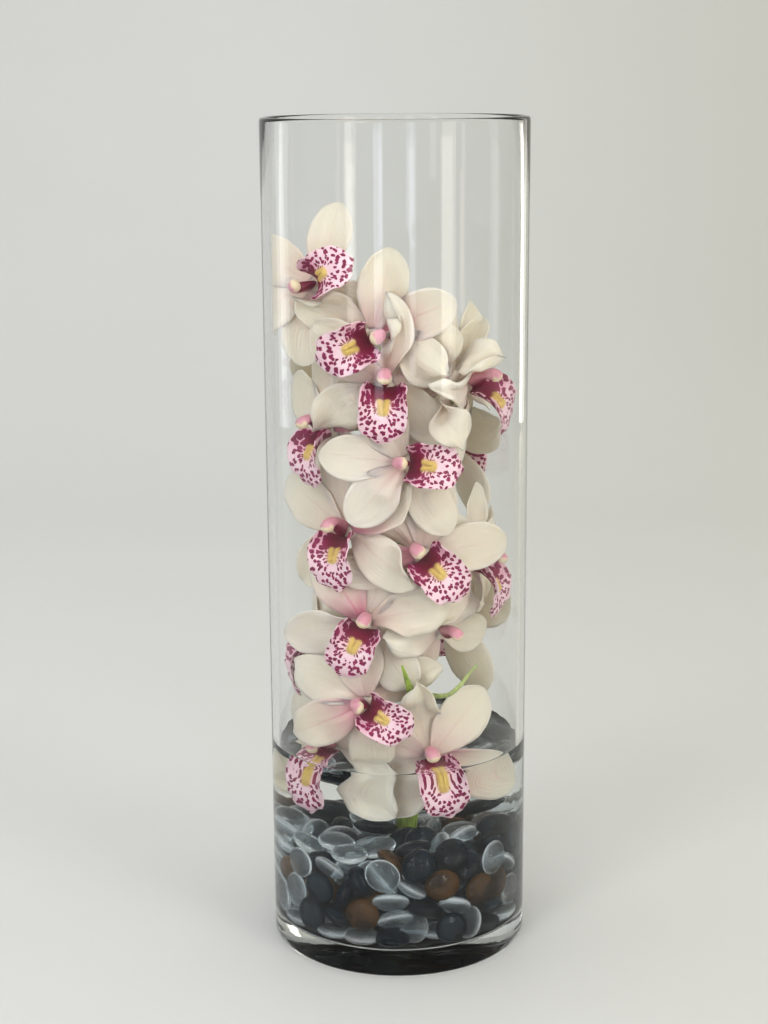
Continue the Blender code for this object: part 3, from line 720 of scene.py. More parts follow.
def surface(tree, out, sockets):
    """Puts one principled surface on the output."""
    shader = grow(tree, "ShaderNodeBsdfPrincipled", sockets)
    tree.links.new(shader.outputs[0], out.inputs["Surface"])


def tepal_finish(look):
    """Waxy cream tepals, flushed with rose at the base, with a rose midrib and fine veins."""
    made, tree, out = new_finish("tepal_skin")
    along, across = point_value(tree, "along"), point_value(tree, "across")
    flush, shade = point_value(tree, "flush"), point_value(tree, "shade")
    lines = place(tree, times(tree, across, 9.0), times(tree, along, 1.1), times(tree, shade, 20.0))
    veins = spread(tree, noise(tree, lines, 2.2, 3.0), 0.35, 0.75)
    clouds = noise(tree, body_place(tree), 55.0)
    cream = blend(tree, clouds, look.cream, look.ivory)
    cream = blend(tree, times(tree, shade, 0.5), cream, look.straw)
    base = calc(tree, "POWER", minus(tree, 1.0, along, clamp=True), 2.2)
    rib = minus(tree, 1.0, spread(tree, calc(tree, "ABSOLUTE", across), 0.0, 0.09))
    rib = times(tree, rib, minus(tree, 0.3, times(tree, along, 0.25)))
    rose = times(tree, base, flush)
    rose = plus(tree, rose, times(tree, rib, plus(tree, 0.12, flush)))
    fine = times(tree, veins, plus(tree, 0.02, times(tree, rose, 0.3)))
    rose = plus(tree, rose, fine, clamp=True)
    colour = blend(tree, rose, cream, look.rose)
    normal = bumps(tree, plus(tree, veins, times(tree, rib, -1.5)), 0.1 * MM)
    rough = plus(tree, 0.42, times(tree, clouds, 0.18))
    surface(tree, out, {
        "Base Color": colour, "Roughness": rough, "Normal": normal, "Subsurface Weight": 0.55,
        "Subsurface Radius": (1.0, 0.85, 0.65), "Subsurface Scale": 3.5 * MM, "Sheen Weight": 0.08,
        "Specular IOR Level": 0.35,
    })
    return made


def lip_finish(look):
    """A pale rose lip with crimson blotches that run out from its yellow callus, and a crimson throat that
    is filled in dark, partly as its own colour and partly as painted shade.
    """
    made, tree, out = new_finish("lip_skin")
    x, y = point_value(tree, "lip_x"), point_value(tree, "lip_y")
    seed, throat = point_value(tree, "seed"), point_value(tree, "throat")
    side, rim, callus = point_value(tree, "side"), point_value(tree, "rim"), point_value(tree, "callus")
    bare = point_value(tree, "bare")
    flat = place(tree, x, y, seed)
    stray = grow(tree, "ShaderNodeTexNoise", {"Vector": flat, "Scale": 0.55, "Detail": 2.0})
    stray = grow(
        tree, "ShaderNodeVectorMath", {0: stray.outputs["Color"], 1: (0.5, 0.5, 0.5)}, operation="SUBTRACT"
    )
    parts = grow(tree, "ShaderNodeSeparateXYZ", {0: stray.outputs[0]})
    turn = calc(tree, "ARCTAN2", x, times(tree, y, -1.0))
    far = grow(
        tree, "ShaderNodeVectorMath", {0: place(tree, x, y, 0.0)}, operation="LENGTH"
    ).outputs["Value"]
    turn = plus(tree, times(tree, turn, 4.6), times(tree, parts.outputs[0], 1.0))
    reach = plus(tree, times(tree, far, 0.36), times(tree, parts.outputs[1], 0.8))
    turn = plus(tree, turn, times(tree, seed, 3.1))
    reach = plus(tree, reach, times(tree, seed, 1.7))
    cells = grow(
        tree, "ShaderNodeTexVoronoi", {"Vector": place(tree, turn, reach, 0.0), "Scale": 1.0,
                                       "Randomness": 0.9}, feature="F1", voronoi_dimensions="2D",
    )
    dense = plus(tree, 0.3, times(tree, noise(tree, flat, 0.45), 0.16))
    dense = plus(tree, dense, times(tree, side, 0.15))
    dense = minus(tree, dense, times(tree, rim, 0.14))
    dense = minus(tree, dense, times(tree, bare, 0.5))
    # Partly painted shade: the throat is filled in solid with dark crimson, beyond its own blotches.
    dense = plus(tree, dense, times(tree, throat, 0.9))
    blotch = minus(tree, dense, cells.outputs["Distance"])
    blotch = spread(tree, blotch, -0.02, 0.03)
    hue = grow(tree, "ShaderNodeSeparateColor", {0: cells.outputs["Color"]}).outputs[0]
    wash = noise(tree, flat, 0.28)
    ground = blend(tree, wash, look.blush, look.white)
    ground = blend(tree, times(tree, side, 0.55), ground, look.pink)
    ground = blend(tree, times(tree, rim, 0.6), ground, look.edge)
    ink = blend(tree, times(tree, hue, 0.6), look.crimson, look.magenta)
    ink = blend(tree, throat, ink, look.throat)
    colour = blend(tree, blotch, ground, ink)
    specks = grow(tree, "ShaderNodeTexVoronoi", {"Vector": flat, "Scale": 1.1}, feature="F1")
    speck = minus(tree, 1.0, spread(tree, specks.outputs["Distance"], 0.12, 0.24))
    gold = blend(tree, times(tree, speck, 0.55), look.yellow, look.crimson)
    colour = blend(tree, callus, colour, gold)
    grain = noise(tree, flat, 3.0, 3.0)
    height = plus(tree, grain, times(tree, blotch, 0.6))
    surface(tree, out, {
        "Base Color": colour, "Roughness": plus(tree, 0.36, times(tree, grain, 0.2)),
        "Normal": bumps(tree, height, 0.12 * MM), "Subsurface Weight": 0.15,
        "Subsurface Radius": (1.0, 0.5, 0.5), "Subsurface Scale": 0.8 * MM, "Specular IOR Level": 0.4,
    })
    return made


def column_finish(look):
    """The column: rose on its back, crimson and freckled beneath, with a cream cap at its tip. The dark
    crimson beneath is partly its own colour and partly painted shade.
    """
    made, tree, out = new_finish("column_skin")
    under, cap = point_value(tree, "under"), point_value(tree, "cap")
    body = body_place(tree)
    clouds = noise(tree, body, 240.0)
    back = blend(tree, clouds, look.rose, look.blush)
    freckle = spread(tree, noise(tree, body, 900.0, 3.0), 0.52, 0.62)
    # Partly painted shade: the underside is dark crimson, freckled.
    belly_crimson_and_shade = blend(tree, times(tree, freckle, 0.5), look.throat, look.crimson)
    colour = blend(tree, under, back, belly_crimson_and_shade)
    colour = blend(tree, cap, colour, blend(tree, clouds, look.cream, look.yellow))
    surface(tree, out, {
        "Base Color": colour, "Roughness": plus(tree, 0.32, times(tree, clouds, 0.2)),
        "Normal": bumps(tree, clouds, 0.15 * MM), "Subsurface Weight": 0.15,
        "Subsurface Radius": (1.0, 0.5, 0.4), "Subsurface Scale": 0.8 * MM,
    })
    return made


def stalk_finish(look):
    """Fresh green stalks with fine lengthwise streaks, paler towards the blooms."""
    made, tree, out = new_finish("stalk_skin")
    along = point_value(tree, "along")
    pale = point_value(tree, "pale")
    stretched = grow(tree, "ShaderNodeMapping", {"Vector": body_place(tree), "Scale": (1.0, 1.0, 0.12)})
    streaks = noise(tree, stretched.outputs[0], 900.0, 3.0)
    clouds = noise(tree, body_place(tree), 90.0)
    green = blend(tree, clouds, look.green, look.lime)
    green = blend(tree, spread(tree, streaks, 0.4, 0.7), green, look.olive)
    fading = times(tree, pale, plus(tree, 0.35, times(tree, along, 0.5)))
    green = blend(tree, fading, green, look.cream)
    surface(tree, out, {
        "Base Color": green, "Roughness": plus(tree, 0.38, times(tree, streaks, 0.2)),
        "Normal": bumps(tree, streaks, 0.1 * MM), "Subsurface Weight": 0.1,
        "Subsurface Radius": (0.6, 1.0, 0.3), "Subsurface Scale": 1.0 * MM,
    })
    return made


def lit_through(tree, out, sockets):
    """Puts a clear surface on the output that lamps shine through, so that what stands in it is lit."""
    shader = grow(tree, "ShaderNodeBsdfPrincipled", sockets)
    path = grow(tree, "ShaderNodeLightPath")
    clear = grow(tree, "ShaderNodeBsdfTransparent", {"Color": (0.96, 0.97, 0.97, 1)})
    both = grow(tree, "ShaderNodeMixShader", {
        0: path.outputs["Is Shadow Ray"], 1: shader.outputs[0], 2: clear.outputs[0],
    })
    tree.links.new(both.outputs[0], out.inputs["Surface"])


def glass_finish(colour):
    """Drawn clear glass, very slightly ribbed from top to bottom."""
    made, tree, out = new_finish("clear_glass")
    stretched = grow(tree, "ShaderNodeMapping", {"Vector": body_place(tree), "Scale": (1.0, 1.0, 0.02)})
    ribs = noise(tree, stretched.outputs[0], 160.0)
    lit_through(tree, out, {
        "Base Color": (*colour, 1), "Roughness": 0.0, "IOR": 1.5, "Transmission Weight": 1.0,
        "Specular Tint": (0.5, 0.5, 0.5, 1),
        "Normal": bumps(tree, ribs, 0.02 * MM),
    })
    return made


def water_finish(colour):
    """Still water."""
    made, tree, out = new_finish("still_water")
    swell = noise(tree, body_place(tree), 30.0)
    lit_through(tree, out, {
        "Base Color": (*colour, 1), "Roughness": 0.0, "IOR": 1.333, "Transmission Weight": 1.0,
        "Specular Tint": (0.15, 0.15, 0.15, 1),
        "Normal": bumps(tree, swell, 0.05 * MM),
    })
    return made


GEM_IOR = 1.2


def gem_finish(name, first, second, edge, clear, coat):
    """Pressed glass, with two tones that run into each other, and a paler edge that is a painted rim
    highlight.
    """
    made, tree, out = new_finish(name)
    where = body_place(tree)
    tone = spread(tree, noise(tree, where, 70.0, 3.0), 0.35, 0.65)
    colour = blend(tree, tone, first, second)
    # Painted highlight: the edge is mixed towards a paler colour and lets less light through, standing for
    # a bright rim.
    colour = blend(tree, point_value(tree, "edge"), colour, edge)
    passing = times(tree, clear, minus(tree, 1.0, times(tree, point_value(tree, "edge"), 0.35)))
    sockets = {
        "Base Color": colour, "Roughness": 0.04, "IOR": GEM_IOR, "Transmission Weight": passing,
        "Coat Weight": coat, "Coat Roughness": 0.03,
        "Normal": bumps(tree, noise(tree, where, 130.0), 0.12 * MM),
    }
    shade = lit_through if clear > 0.5 else surface
    shade(tree, out, sockets)
    return made


FLOOR_RIGHT_PAINTED_SHADE = (0.87, 0.865, 0.81)


def floor_finish(colour):
    """A pale matt floor, with painted shade that makes it a little warmer and darker towards the right."""
    made, tree, out = new_finish("pale_floor")
    clouds = noise(tree, body_place(tree), 6.0, 4.0)
    tone = blend(tree, clouds, colour, [c * 0.96 for c in colour])
    across = grow(tree, "ShaderNodeSeparateXYZ", {0: body_place(tree)}).outputs[0]
    # Painted shade: the right side of the floor is darkened and warmed in its colour.
    right_painted_shade = [c * k for c, k in zip(colour, FLOOR_RIGHT_PAINTED_SHADE)]
    tone = blend(tree, spread(tree, across, -0.2, 0.7), tone, right_painted_shade)
    surface(tree, out, {"Base Color": tone, "Roughness": 0.55})
    return made


# Settings


def size_of(name, description, default):
    """A length setting."""
    return FloatProperty(
        name=name, description=description, default=default, min=0.0, unit="LENGTH", precision=4
    )


def colour_of(name, description, default):
    """A colour setting."""
    return FloatVectorProperty(
        name=name, description=description, default=default, min=0.0, max=1.0, size=3, subtype="COLOR"
    )


class VaseSettings(bpy.types.PropertyGroup):
    rim: size_of("Rim rounding", "How far the polished rim is rounded", 1.9 * MM)
    heel: size_of("Heel rounding", "How far the outer edge of the foot is rounded", 2.5 * MM)
    kick: size_of("Kick", "How far the underside of the foot rises at its middle", 5.5 * MM)
    ripple: size_of("Ripple", "How far the drawn glass strays from a true round", 0.05 * MM)
    sides: IntProperty(name="Sides", description="Faces round the vase", default=224, min=24)
    colour: colour_of("Glass", "Tint of the glass", (0.952, 0.957, 0.952))


class WaterSettings(bpy.types.PropertyGroup):
    climb: size_of("Climb", "How far the water climbs the glass at its edge", 1.2 * MM)
    sides: IntProperty(name="Sides", description="Faces round the water", default=160, min=24)
    colour: colour_of("Water", "Tint of the water", (0.97, 0.985, 0.98))


class GemSettings(bpy.types.PropertyGroup):
    radius: size_of("Radius", "Half the width of a gem", 8.8 * MM)
    height: size_of("Half height", "Half the thickness of a gem", 4.3 * MM)
    count: IntProperty(name="Gems", description="How many gems lie in the vase", default=280, min=1)
    clear: colour_of("Clear", "Colour of the clear gems", (0.80, 0.88, 0.92))
    dark: colour_of("Dark", "Colour of the dark gems", (0.003, 0.006, 0.010))
    amber: colour_of("Amber", "Colour of the amber gems", (0.10, 0.045, 0.01))


class StemSettings(bpy.types.PropertyGroup):
    green: colour_of("Green", "Main green of the stalks", (0.20, 0.34, 0.05))
    lime: colour_of("Lime", "Lighter green", (0.42, 0.52, 0.08))
    olive: colour_of("Olive", "Darker streaks", (0.16, 0.22, 0.04))
    cream: colour_of("Cream", "The stalks' pale ends", (0.78, 0.76, 0.60))


class TepalSettings(bpy.types.PropertyGroup):
    wave: size_of("Wave", "How far the edges wave", 0.5 * MM)
    cream: colour_of("Cream", "Main colour", (0.76, 0.69, 0.565))
    ivory: colour_of("Ivory", "Lighter clouds", (0.82, 0.765, 0.665))
    straw: colour_of("Straw", "Warmer tepals", (0.69, 0.62, 0.465))
    rose: colour_of("Rose", "Flush at the base and the midrib", (0.60, 0.23, 0.31))


class LipSettings(bpy.types.PropertyGroup):
    frill: size_of("Frill", "How far the lip's margin is frilled", 0.55 * MM)
    ridge: size_of("Ridge", "How high the callus ridges stand", 1.5 * MM)
    blush: colour_of("Blush", "Pale ground", (0.84, 0.52, 0.62))
    white: colour_of("White", "Lightest ground", (0.88, 0.74, 0.77))
    pink: colour_of("Pink", "Ground of the side lobes", (0.70, 0.28, 0.42))
    edge: colour_of("Edge", "Margin", (0.84, 0.63, 0.67))
    crimson: colour_of("Crimson", "Blotches", (0.20, 0.003, 0.05))
    magenta: colour_of("Magenta", "Lighter blotches", (0.38, 0.01, 0.13))
    # Crimson of the throat, partly its own colour and partly painted shade.
    throat: colour_of("Throat", "Inside of the throat", (0.21, 0.006, 0.04))
    yellow: colour_of("Yellow", "Callus", (0.72, 0.52, 0.16))


class ColumnSettings(bpy.types.PropertyGroup):
    rose: colour_of("Rose", "Back of the column", (0.58, 0.20, 0.28))
    blush: colour_of("Blush", "Lighter back", (0.76, 0.44, 0.48))
    # Dark crimson of the underside, partly its own colour and partly painted shade.
    throat: colour_of("Underside", "Under the column", (0.22, 0.008, 0.045))
    crimson: colour_of("Freckles", "Freckles under the column", (0.12, 0.004, 0.03))
    cream: colour_of("Cap", "Cap at the tip", (0.82, 0.74, 0.60))
    yellow: colour_of("Cap shade", "Warmer parts of the cap", (0.76, 0.62, 0.36))


class StageSettings(bpy.types.PropertyGroup):
    reach: size_of("Floor", "How far the floor reaches", 4.5)
    bend: size_of("Bend", "How far back the floor starts to bend up", 0.9)
    floor: colour_of("Floor colour", "Colour of the floor", (0.77, 0.77, 0.755))
    air: colour_of("Surroundings", "Colour of the light all round", (0.70, 0.705, 0.695))
    air_strength: FloatProperty(
        name="Surrounding light", description="Strength of the light all round", default=0.89, min=0.0
    )


class OrchidSettings(bpy.types.PropertyGroup):
    vase: PointerProperty(type=VaseSettings, name="Vase", description="Vase sizes and tint")
    water: PointerProperty(type=WaterSettings, name="Water", description="Water sizes and tint")
    gems: PointerProperty(type=GemSettings, name="Gems", description="Gem sizes and colours")
    stem: PointerProperty(type=StemSettings, name="Stem", description="Stem colours")
    tepals: PointerProperty(type=TepalSettings, name="Tepals", description="Tepal sizes and colours")
    lips: PointerProperty(type=LipSettings, name="Lips", description="Lip sizes and colours")
    columns: PointerProperty(type=ColumnSettings, name="Columns", description="Column colours")
    stage: PointerProperty(type=StageSettings, name="Stage", description="Floor and light")


# Pieces


CORNER = 4 * MM
RING_WIDTH = 5 * MM
WALL_STEPS = 10
KICK_STEPS = 12


def inner_corner(radius, height, turns):
    """Outline points of the rounded corner where the inside wall meets the foot."""
    return [
        (radius - CORNER + CORNER * math.cos(a), height + CORNER - CORNER * math.sin(a)) for a in turns
    ]


class ORCHID_OT_vase(bpy.types.Operator):
    """Makes the glass cylinder with its thick foot and polished rim"""

    bl_idname = "orchid.vase"
    bl_label = "Vase"

    def execute(self, context):
        look = context.scene.orchid.vase
        rim, heel = look.rim, look.heel
        ring = VASE_RADIUS - RING_WIDTH
        across = [k / KICK_STEPS for k in range(1, KICK_STEPS + 1)]
        along = [k / WALL_STEPS for k in range(1, WALL_STEPS)]
        outline = [(ring * k, look.kick * (1 - k**2)) for k in across]
        outline += quarter(VASE_RADIUS - heel, heel, heel, -90)
        outline += [(VASE_RADIUS, heel + (VASE_HEIGHT - heel - rim) * k) for k in along]
        outline += quarter(VASE_RADIUS - rim, VASE_HEIGHT - rim, rim, 0)
        outline += quarter(INNER_RADIUS + rim, VASE_HEIGHT - rim, rim, 90)
        inside = VASE_HEIGHT - rim - FOOT - CORNER
        outline += [(INNER_RADIUS, VASE_HEIGHT - rim - inside * k) for k in along]
        outline += inner_corner(INNER_RADIUS, FOOT, quarter_turn(CORNER_STEPS))
        outline += [(INNER_RADIUS * 0.6, FOOT), (INNER_RADIUS * 0.2, FOOT)]
        amount = look.ripple

        def ripple(turns):
            fine = 0.18 * np.sin(41 * turns) + 0.12 * np.sin(71 * turns + 2)
            return amount * (0.5 + 0.2 * np.sin(17 * turns + 1) + fine)

        heap = Heap()
        heap.add(*turned(outline, look.sides, ripple))
        heap.piece("glass_cylinder", glass_finish(look.colour), "vase", "vase_glass")
        return {"FINISHED"}


WETTING = 0.03 * MM
MENISCUS = 6 * MM
MENISCUS_STEPS = 8
MENISCUS_FALL = 1.6 * MM


class ORCHID_OT_water(bpy.types.Operator):
    """Fills the foot of the vase with water, which wets the glass"""

    bl_idname = "orchid.water"
    bl_label = "Water"

    def execute(self, context):
        look = context.scene.orchid.water
        wet = INNER_RADIUS + WETTING
        low = FOOT - WETTING
        level = WATER_LEVEL - look.climb
        outline = [(wet * 0.5, low), (wet - CORNER, low)]
        outline += inner_corner(wet, low, quarter_turn(CORNER_STEPS)[-2::-1])
        outline += [(wet, low + 20 * MM), (wet, WATER_LEVEL - 10 * MM)]
        for k in range(MENISCUS_STEPS + 1):
            back = MENISCUS * (k / MENISCUS_STEPS) ** 2
            outline.append((wet - back, level + look.climb * math.exp(-back / MENISCUS_FALL)))
        outline.append((wet * 0.4, level))
        heap = Heap()
        heap.add(*turned(outline, look.sides))
        heap.piece("water_body", water_finish(look.colour), "water", "water")
        return {"FINISHED"}


# Gems: how they are dropped and settled, and the rings of points that make one.
GEM_SEED = 7
GEM_BALLS = 6
BALL_SHARE = 1.02
DROP_FROM = 8 * MM
DROP_HEIGHT = 95 * MM
GEM_FALL = 0.9 * MM
LAST_FALL = 0.15
GEM_STEPS = 150
REST_STEPS = 30
GEM_REACH = 2.6
GEM_PUSH = 0.3
STEM_ROOM = 5 * MM
GEM_SIDES = 24
GEM_RINGS = 9
GEM_KINDS = {"clear": 0.44, "dark": 0.44, "amber": 0.12}
GEM_BACK = 0.78


def unit(vectors):
    """The same directions, each of length one."""
    return vectors / np.linalg.norm(vectors, axis=1, keepdims=True)


def drop_gems(count, radius):
    """Middles, sides and other sides of gems that hang above the vase's foot, turned at random."""
    draw = random.Random(GEM_SEED)
    middles, axes = [], []
    for k in range(count):
        reach = (INNER_RADIUS - radius) * math.sqrt(draw.random())
        turn = draw.uniform(0, 2 * math.pi)
        height = FOOT + DROP_FROM + DROP_HEIGHT * k / count
        middles.append((reach * math.cos(turn), reach * math.sin(turn), height))
        axes.append([draw.gauss(0, 1) for _ in range(3)])
    axes = unit(np.array(axes))
    side = unit(np.cross(axes, np.where(np.abs(axes[:, 2:]) < 0.8, (0, 0, 1.0), (1.0, 0, 0))))
    return np.array(middles), side, np.cross(axes, side)


def ball_middles(middles, side, other, local):
    """The middles of the balls that stand for each gem: one in its middle and a ring about it."""
    balls = middles[:, None] + side[:, None] * local[None, :, :1] + other[:, None] * local[None, :, 1:]
    return balls.reshape(-1, 3).copy()


def keep_balls_apart(points, pairs, ball, stem):
    """Moves the balls off each other and off the stem, and holds them inside the glass."""
    first, second = pairs
    apart, gap = distance(points[first], points[second])
    near = (gap < 2 * ball) & (gap > TINY)
    move = apart[near] * ((gap[near] - 2 * ball) / gap[near] * GEM_PUSH)[:, None]
    for k in range(3):
        points[:, k] += np.bincount(first[near], weights=move[:, k], minlength=len(points))
    for p in stem:
        off = points - np.array(p)
        size = np.linalg.norm(off, axis=1)
        close = (size < ball + STEM_ROOM) & (size > TINY)
        points[close] += off[close] * ((ball + STEM_ROOM) / size[close] - 1)[:, None]
    reach = np.hypot(points[:, 0], points[:, 1])
    points[:, :2] *= np.minimum(1, (INNER_RADIUS - GAP - ball) / np.maximum(reach, TINY))[:, None]
    points[:, 2] = np.maximum(points[:, 2], FOOT + GAP + ball)


def settle_gems(count, radius, height):
    """Middles, sides, other sides and axes of gems dropped into the vase round the stem."""
    ball = height * BALL_SHARE
    ring = radius - ball
    middles, side, other = drop_gems(count, radius)
    turns = [2 * math.pi * k / GEM_BALLS for k in range(GEM_BALLS)]
    cosines, sines = (way(turns)[None, :, None] for way in (np.cos, np.sin))
    local = np.array([(0, 0)] + [(math.cos(a) * ring, math.sin(a) * ring) for a in turns])
    owner = np.repeat(np.arange(count), len(local))
    stem = [p for p in between(stem_path(), 3) if p.z < GEM_TOP + 10 * MM]
    for step in range(GEM_STEPS):
        points = ball_middles(middles, side, other, local)
        points[:, 2] -= GEM_FALL * (1 if step < GEM_STEPS - REST_STEPS else LAST_FALL)
        if step % 3 == 0:
            first, second = pairs_within(points, points, GEM_REACH * ball)
            apart = owner[first] != owner[second]
            pairs = first[apart], second[apart]
        for _ in range(4):
            keep_balls_apart(points, pairs, ball, stem)
            balls = points.reshape(count, -1, 3)
            middles = balls.mean(axis=1)
            spokes = balls[:, 1:] - middles[:, None]
            side = unit((spokes * cosines).sum(1))
            axis = unit(np.cross(side, (spokes * sines).sum(1)))
            other = np.cross(axis, side)
            points = ball_middles(middles, side, other, local)
    return middles, side, other, np.cross(side, other)


def gem_rings(draw, look, middle, side, other, axis):
    """The points of one gem, flatter on one face, and how near its edge each lies, which places the painted
    rim highlight.
    """
    turns = np.linspace(0, 2 * math.pi, GEM_SIDES, endpoint=False)
    oval = draw.uniform(0.9, 1.0)
    size = draw.uniform(0.92, 1.0)
    flip = draw.choice((-1, 1))
    wobble = draw.uniform(0, 6)
    points, edge = [], []
    for ring in range(GEM_RINGS):
        lift = math.pi * (ring + 0.35) / (GEM_RINGS - 0.3)
        # Nearness to the edge, where the painted rim highlight goes.
        edge += [math.sin(lift) ** 16] * GEM_SIDES
        high = -math.cos(lift) * (GEM_BACK if math.cos(lift) > 0 else 1.0) * flip
        reach = look.radius * size * math.sin(lift) ** 0.75 * (1 + 0.03 * np.sin(2 * turns + wobble))
        points.append(
            middle + axis * high * look.height * size
            + side * (reach * np.cos(turns * flip))[:, None]
            + other * (reach * oval * np.sin(turns * flip))[:, None]
        )
    points = np.array(points).reshape(-1, 3)
    points[:, 2] += min(0, GEM_TOP - points[:, 2].max())
    return points, edge


class ORCHID_OT_gems(bpy.types.Operator):
    """Drops the glass gems into the vase and shares them out between three colours"""

    bl_idname = "orchid.gems"
    bl_label = "Gems"

    def execute(self, context):
        look = context.scene.orchid.gems
        draw = random.Random(GEM_SEED + 1)
        heaps = {kind: Heap() for kind in GEM_KINDS}
        for gem in zip(*settle_gems(look.count, look.radius, look.height)):
            kind = draw.choices(tuple(GEM_KINDS), tuple(GEM_KINDS.values()))[0]
            points, edge = gem_rings(draw, look, *gem)
            if points[:, 2].min() > FOOT + GAP / 3:
                heaps[kind].add(points, ring_faces(GEM_RINGS, GEM_SIDES), edge=edge)
        pale = [c * 0.7 for c in look.clear]
        # The third colour of each finish is its edge colour; the pale edges of the clear and amber gems are
        # a painted rim highlight.
        finishes = (
            gem_finish("gem_clear", look.clear, pale, (0.90, 0.95, 0.97), 0.94, 0.5),
            gem_finish("gem_dark", look.dark, (0.005, 0.016, 0.028), look.dark, 0.0, 0.4),
            gem_finish("gem_amber", look.amber, (0.03, 0.014, 0.008), (0.10, 0.05, 0.015), 0.25, 0.4),
        )
        for (kind, heap), finish in zip(heaps.items(), finishes):
            heap.piece(f"gems_{kind}", finish, "glass_gems", "gems")
        return {"FINISHED"}


def leaf_blade(heap, path, widths, **values):
    """Adds a narrow folded leaf along a path, as wide to each side as given in millimetres."""
    steps, cols = 12, 7
    fine = smooth_path(path, steps)
    wide = [w * MM for w in along_path(widths, steps)]
    grid = np.zeros((steps + 1, cols, 3))
    for k, point in enumerate(fine):
        ahead = (fine[min(k + 1, steps)] - fine[max(k - 1, 0)]).normalized()
        out = Vector((point.x, point.y, 0))
        side = ahead.cross(out).normalized()
        lift = side.cross(ahead).normalized()
        for j in range(cols):
            t = 2 * j / (cols - 1) - 1
            grid[k, j] = point + side * t * wide[k] + lift * abs(t) * wide[k] * 0.35
    half = np.full(grid.shape[:2], TEPAL_THICKNESS / 2)
    half[:, 0] = half[:, -1] = TEPAL_THICKNESS / 5
    heap.add(*blade(grid, half), **values)


class ORCHID_OT_stem(bpy.types.Operator):
    """Makes the main stem with its stalks and bracts"""

    bl_idname = "orchid.stem"
    bl_label = "Stem"

    def execute(self, context):
        heap = Heap()
        steps = 60
        path = smooth_path(in_metres(STEM_POINTS), steps)
        low, high = STEM_RADIUS
        radii = [(low + (high - low) * k / steps) * MM for k in range(steps + 1)]
        heap.add_tube(path, radii, 18, pale=0.0)
        for bloom in BLOOMS:
            steps = 16
            path = smooth_path(stalk_path(bloom), steps)
            radii = [STALK_RADIUS * MM * (1.15 - 0.25 * k / steps) for k in range(steps + 1)]
            heap.add_tube(path, radii, 12, pale=0.7)
            leaf_blade(heap, bract_path(bloom), BRACT_WIDTHS, along=0.2, pale=0.1)
        leaf_blade(heap, in_metres(LONG_BRACT), LONG_BRACT_WIDTH, along=0.2, pale=0.0)
        path = smooth_path(in_metres(BARE_STALK), 24)
        radii = [r * MM for r in along_path(BARE_STALK_RADIUS, 24)]
        heap.add_tube(path, radii, 12, pale=0.3)
        heap.piece("stem_and_stalks", stalk_finish(context.scene.orchid.stem), "flower_stem", "stem")
        return {"FINISHED"}


FINE_ROWS = 28
FINE_COLS = 17
TEPAL_SEED = 11

# The bloom and the place in TEPALS of each tepal with a deep rose flush.
FLUSHED = {(2, 0), (5, 1), (7, 1), (8, 2), (8, 4), (10, 2), (12, 2), (13, 0), (14, 3)}


def fine_width(share):
    """A tepal's true outline, as a share of its widest, with a soft point."""
    if share < WIDEST:
        return BASE_WIDTH + (1 - BASE_WIDTH) * math.sin(math.pi / 2 * share / WIDEST)
    beyond = (share - WIDEST) / (1 - WIDEST)
    return max(0.02, math.sqrt(max(0, 1 - beyond**2.1)) * (1 - 0.25 * beyond**6))


def tepal_surface(grid, draw, wave):
    """A fine grid over one opened tepal, with its waved edges, and the share along and across it."""
    u = np.linspace(0, 1, FINE_ROWS)
    share = 0.45 * u + 0.55 * np.sin(u * math.pi / 2)
    share /= share[-1]
    at = share * (TEPAL_ROWS - 1)
    lines = through(grid, at)
    coarse = through(np.array([[width_at(i / (TEPAL_ROWS - 1))] for i in range(TEPAL_ROWS)]), at)[:, 0]
    ratio = np.array([fine_width(s) for s in share]) / coarse
    t = np.linspace(-1, 1, FINE_COLS)
    places = (TEPAL_COLS - 1) / 2 * (1 + t[None] * np.minimum(ratio, 1.14)[:, None])
    surface = across_rows(lines, places)
    left, right = draw.uniform(0, 1), draw.uniform(0, 1)
    turns = draw.uniform(1.6, 2.8)
    phase = np.where(t[None] < 0, left, right) + turns * share[:, None]
    edge = np.abs(t[None]) ** 3 * np.sin(2 * math.pi * phase) * np.sin(math.pi * share[:, None]) ** 0.5
    groove = -0.3 * np.exp(-((t[None] / 0.13) ** 2)) * (1 - share[:, None])
    surface = surface + grid_normals(surface) * ((edge + groove) * wave)[..., None]
    return surface, np.broadcast_to(share[:, None], edge.shape), np.broadcast_to(t[None], edge.shape)


class ORCHID_OT_tepals(bpy.types.Operator):
    """Opens the blooms and makes every bloom's five tepals with its ovary"""

    bl_idname = "orchid.tepals"
    bl_label = "Tepals"

    def execute(self, context):
        look = context.scene.orchid.tepals
        draw = random.Random(TEPAL_SEED)
        finish = tepal_finish(look)
        grids = open_blooms()
        for number, bloom in enumerate(BLOOMS):
            heap = Heap()
            for k in range(len(TEPALS)):
                grid = grids[number * len(TEPALS) + k]
                surface, share, t = tepal_surface(grid, draw, look.wave)
                half = TEPAL_THICKNESS / 2 * (1 - 0.55 * np.abs(t) ** 4) * (1 - 0.5 * share**8)
                points, faces = blade(surface, half)
                flush = 1.0 if (number + 1, k) in FLUSHED else draw.uniform(0.12, 0.45)
                heap.add(
                    points, faces, along=twice(share), across=twice(t), flush=flush, shade=draw.random()
                )
            axes, centre = bloom_frame(bloom)
            steps = 10
            knots = smooth_path([Vector((f, r, 0)) for f, r in OVARY], steps)
            path = [centre + axes.col[2] * knot.x * MM for knot in knots]
            radii = [knot.y * MM * bloom.size for knot in knots]
            heap.add_tube(path, radii, 16, along=0.35, across=0.5, flush=0.3, shade=0.9)
            heap.piece(f"tepals_{number + 1:02d}", finish, f"bloom_{number + 1:02d}_tepals", "tepals")
        return {"FINISHED"}


LIP_FINE_ROWS = 46
LIP_FINE_COLS = 41


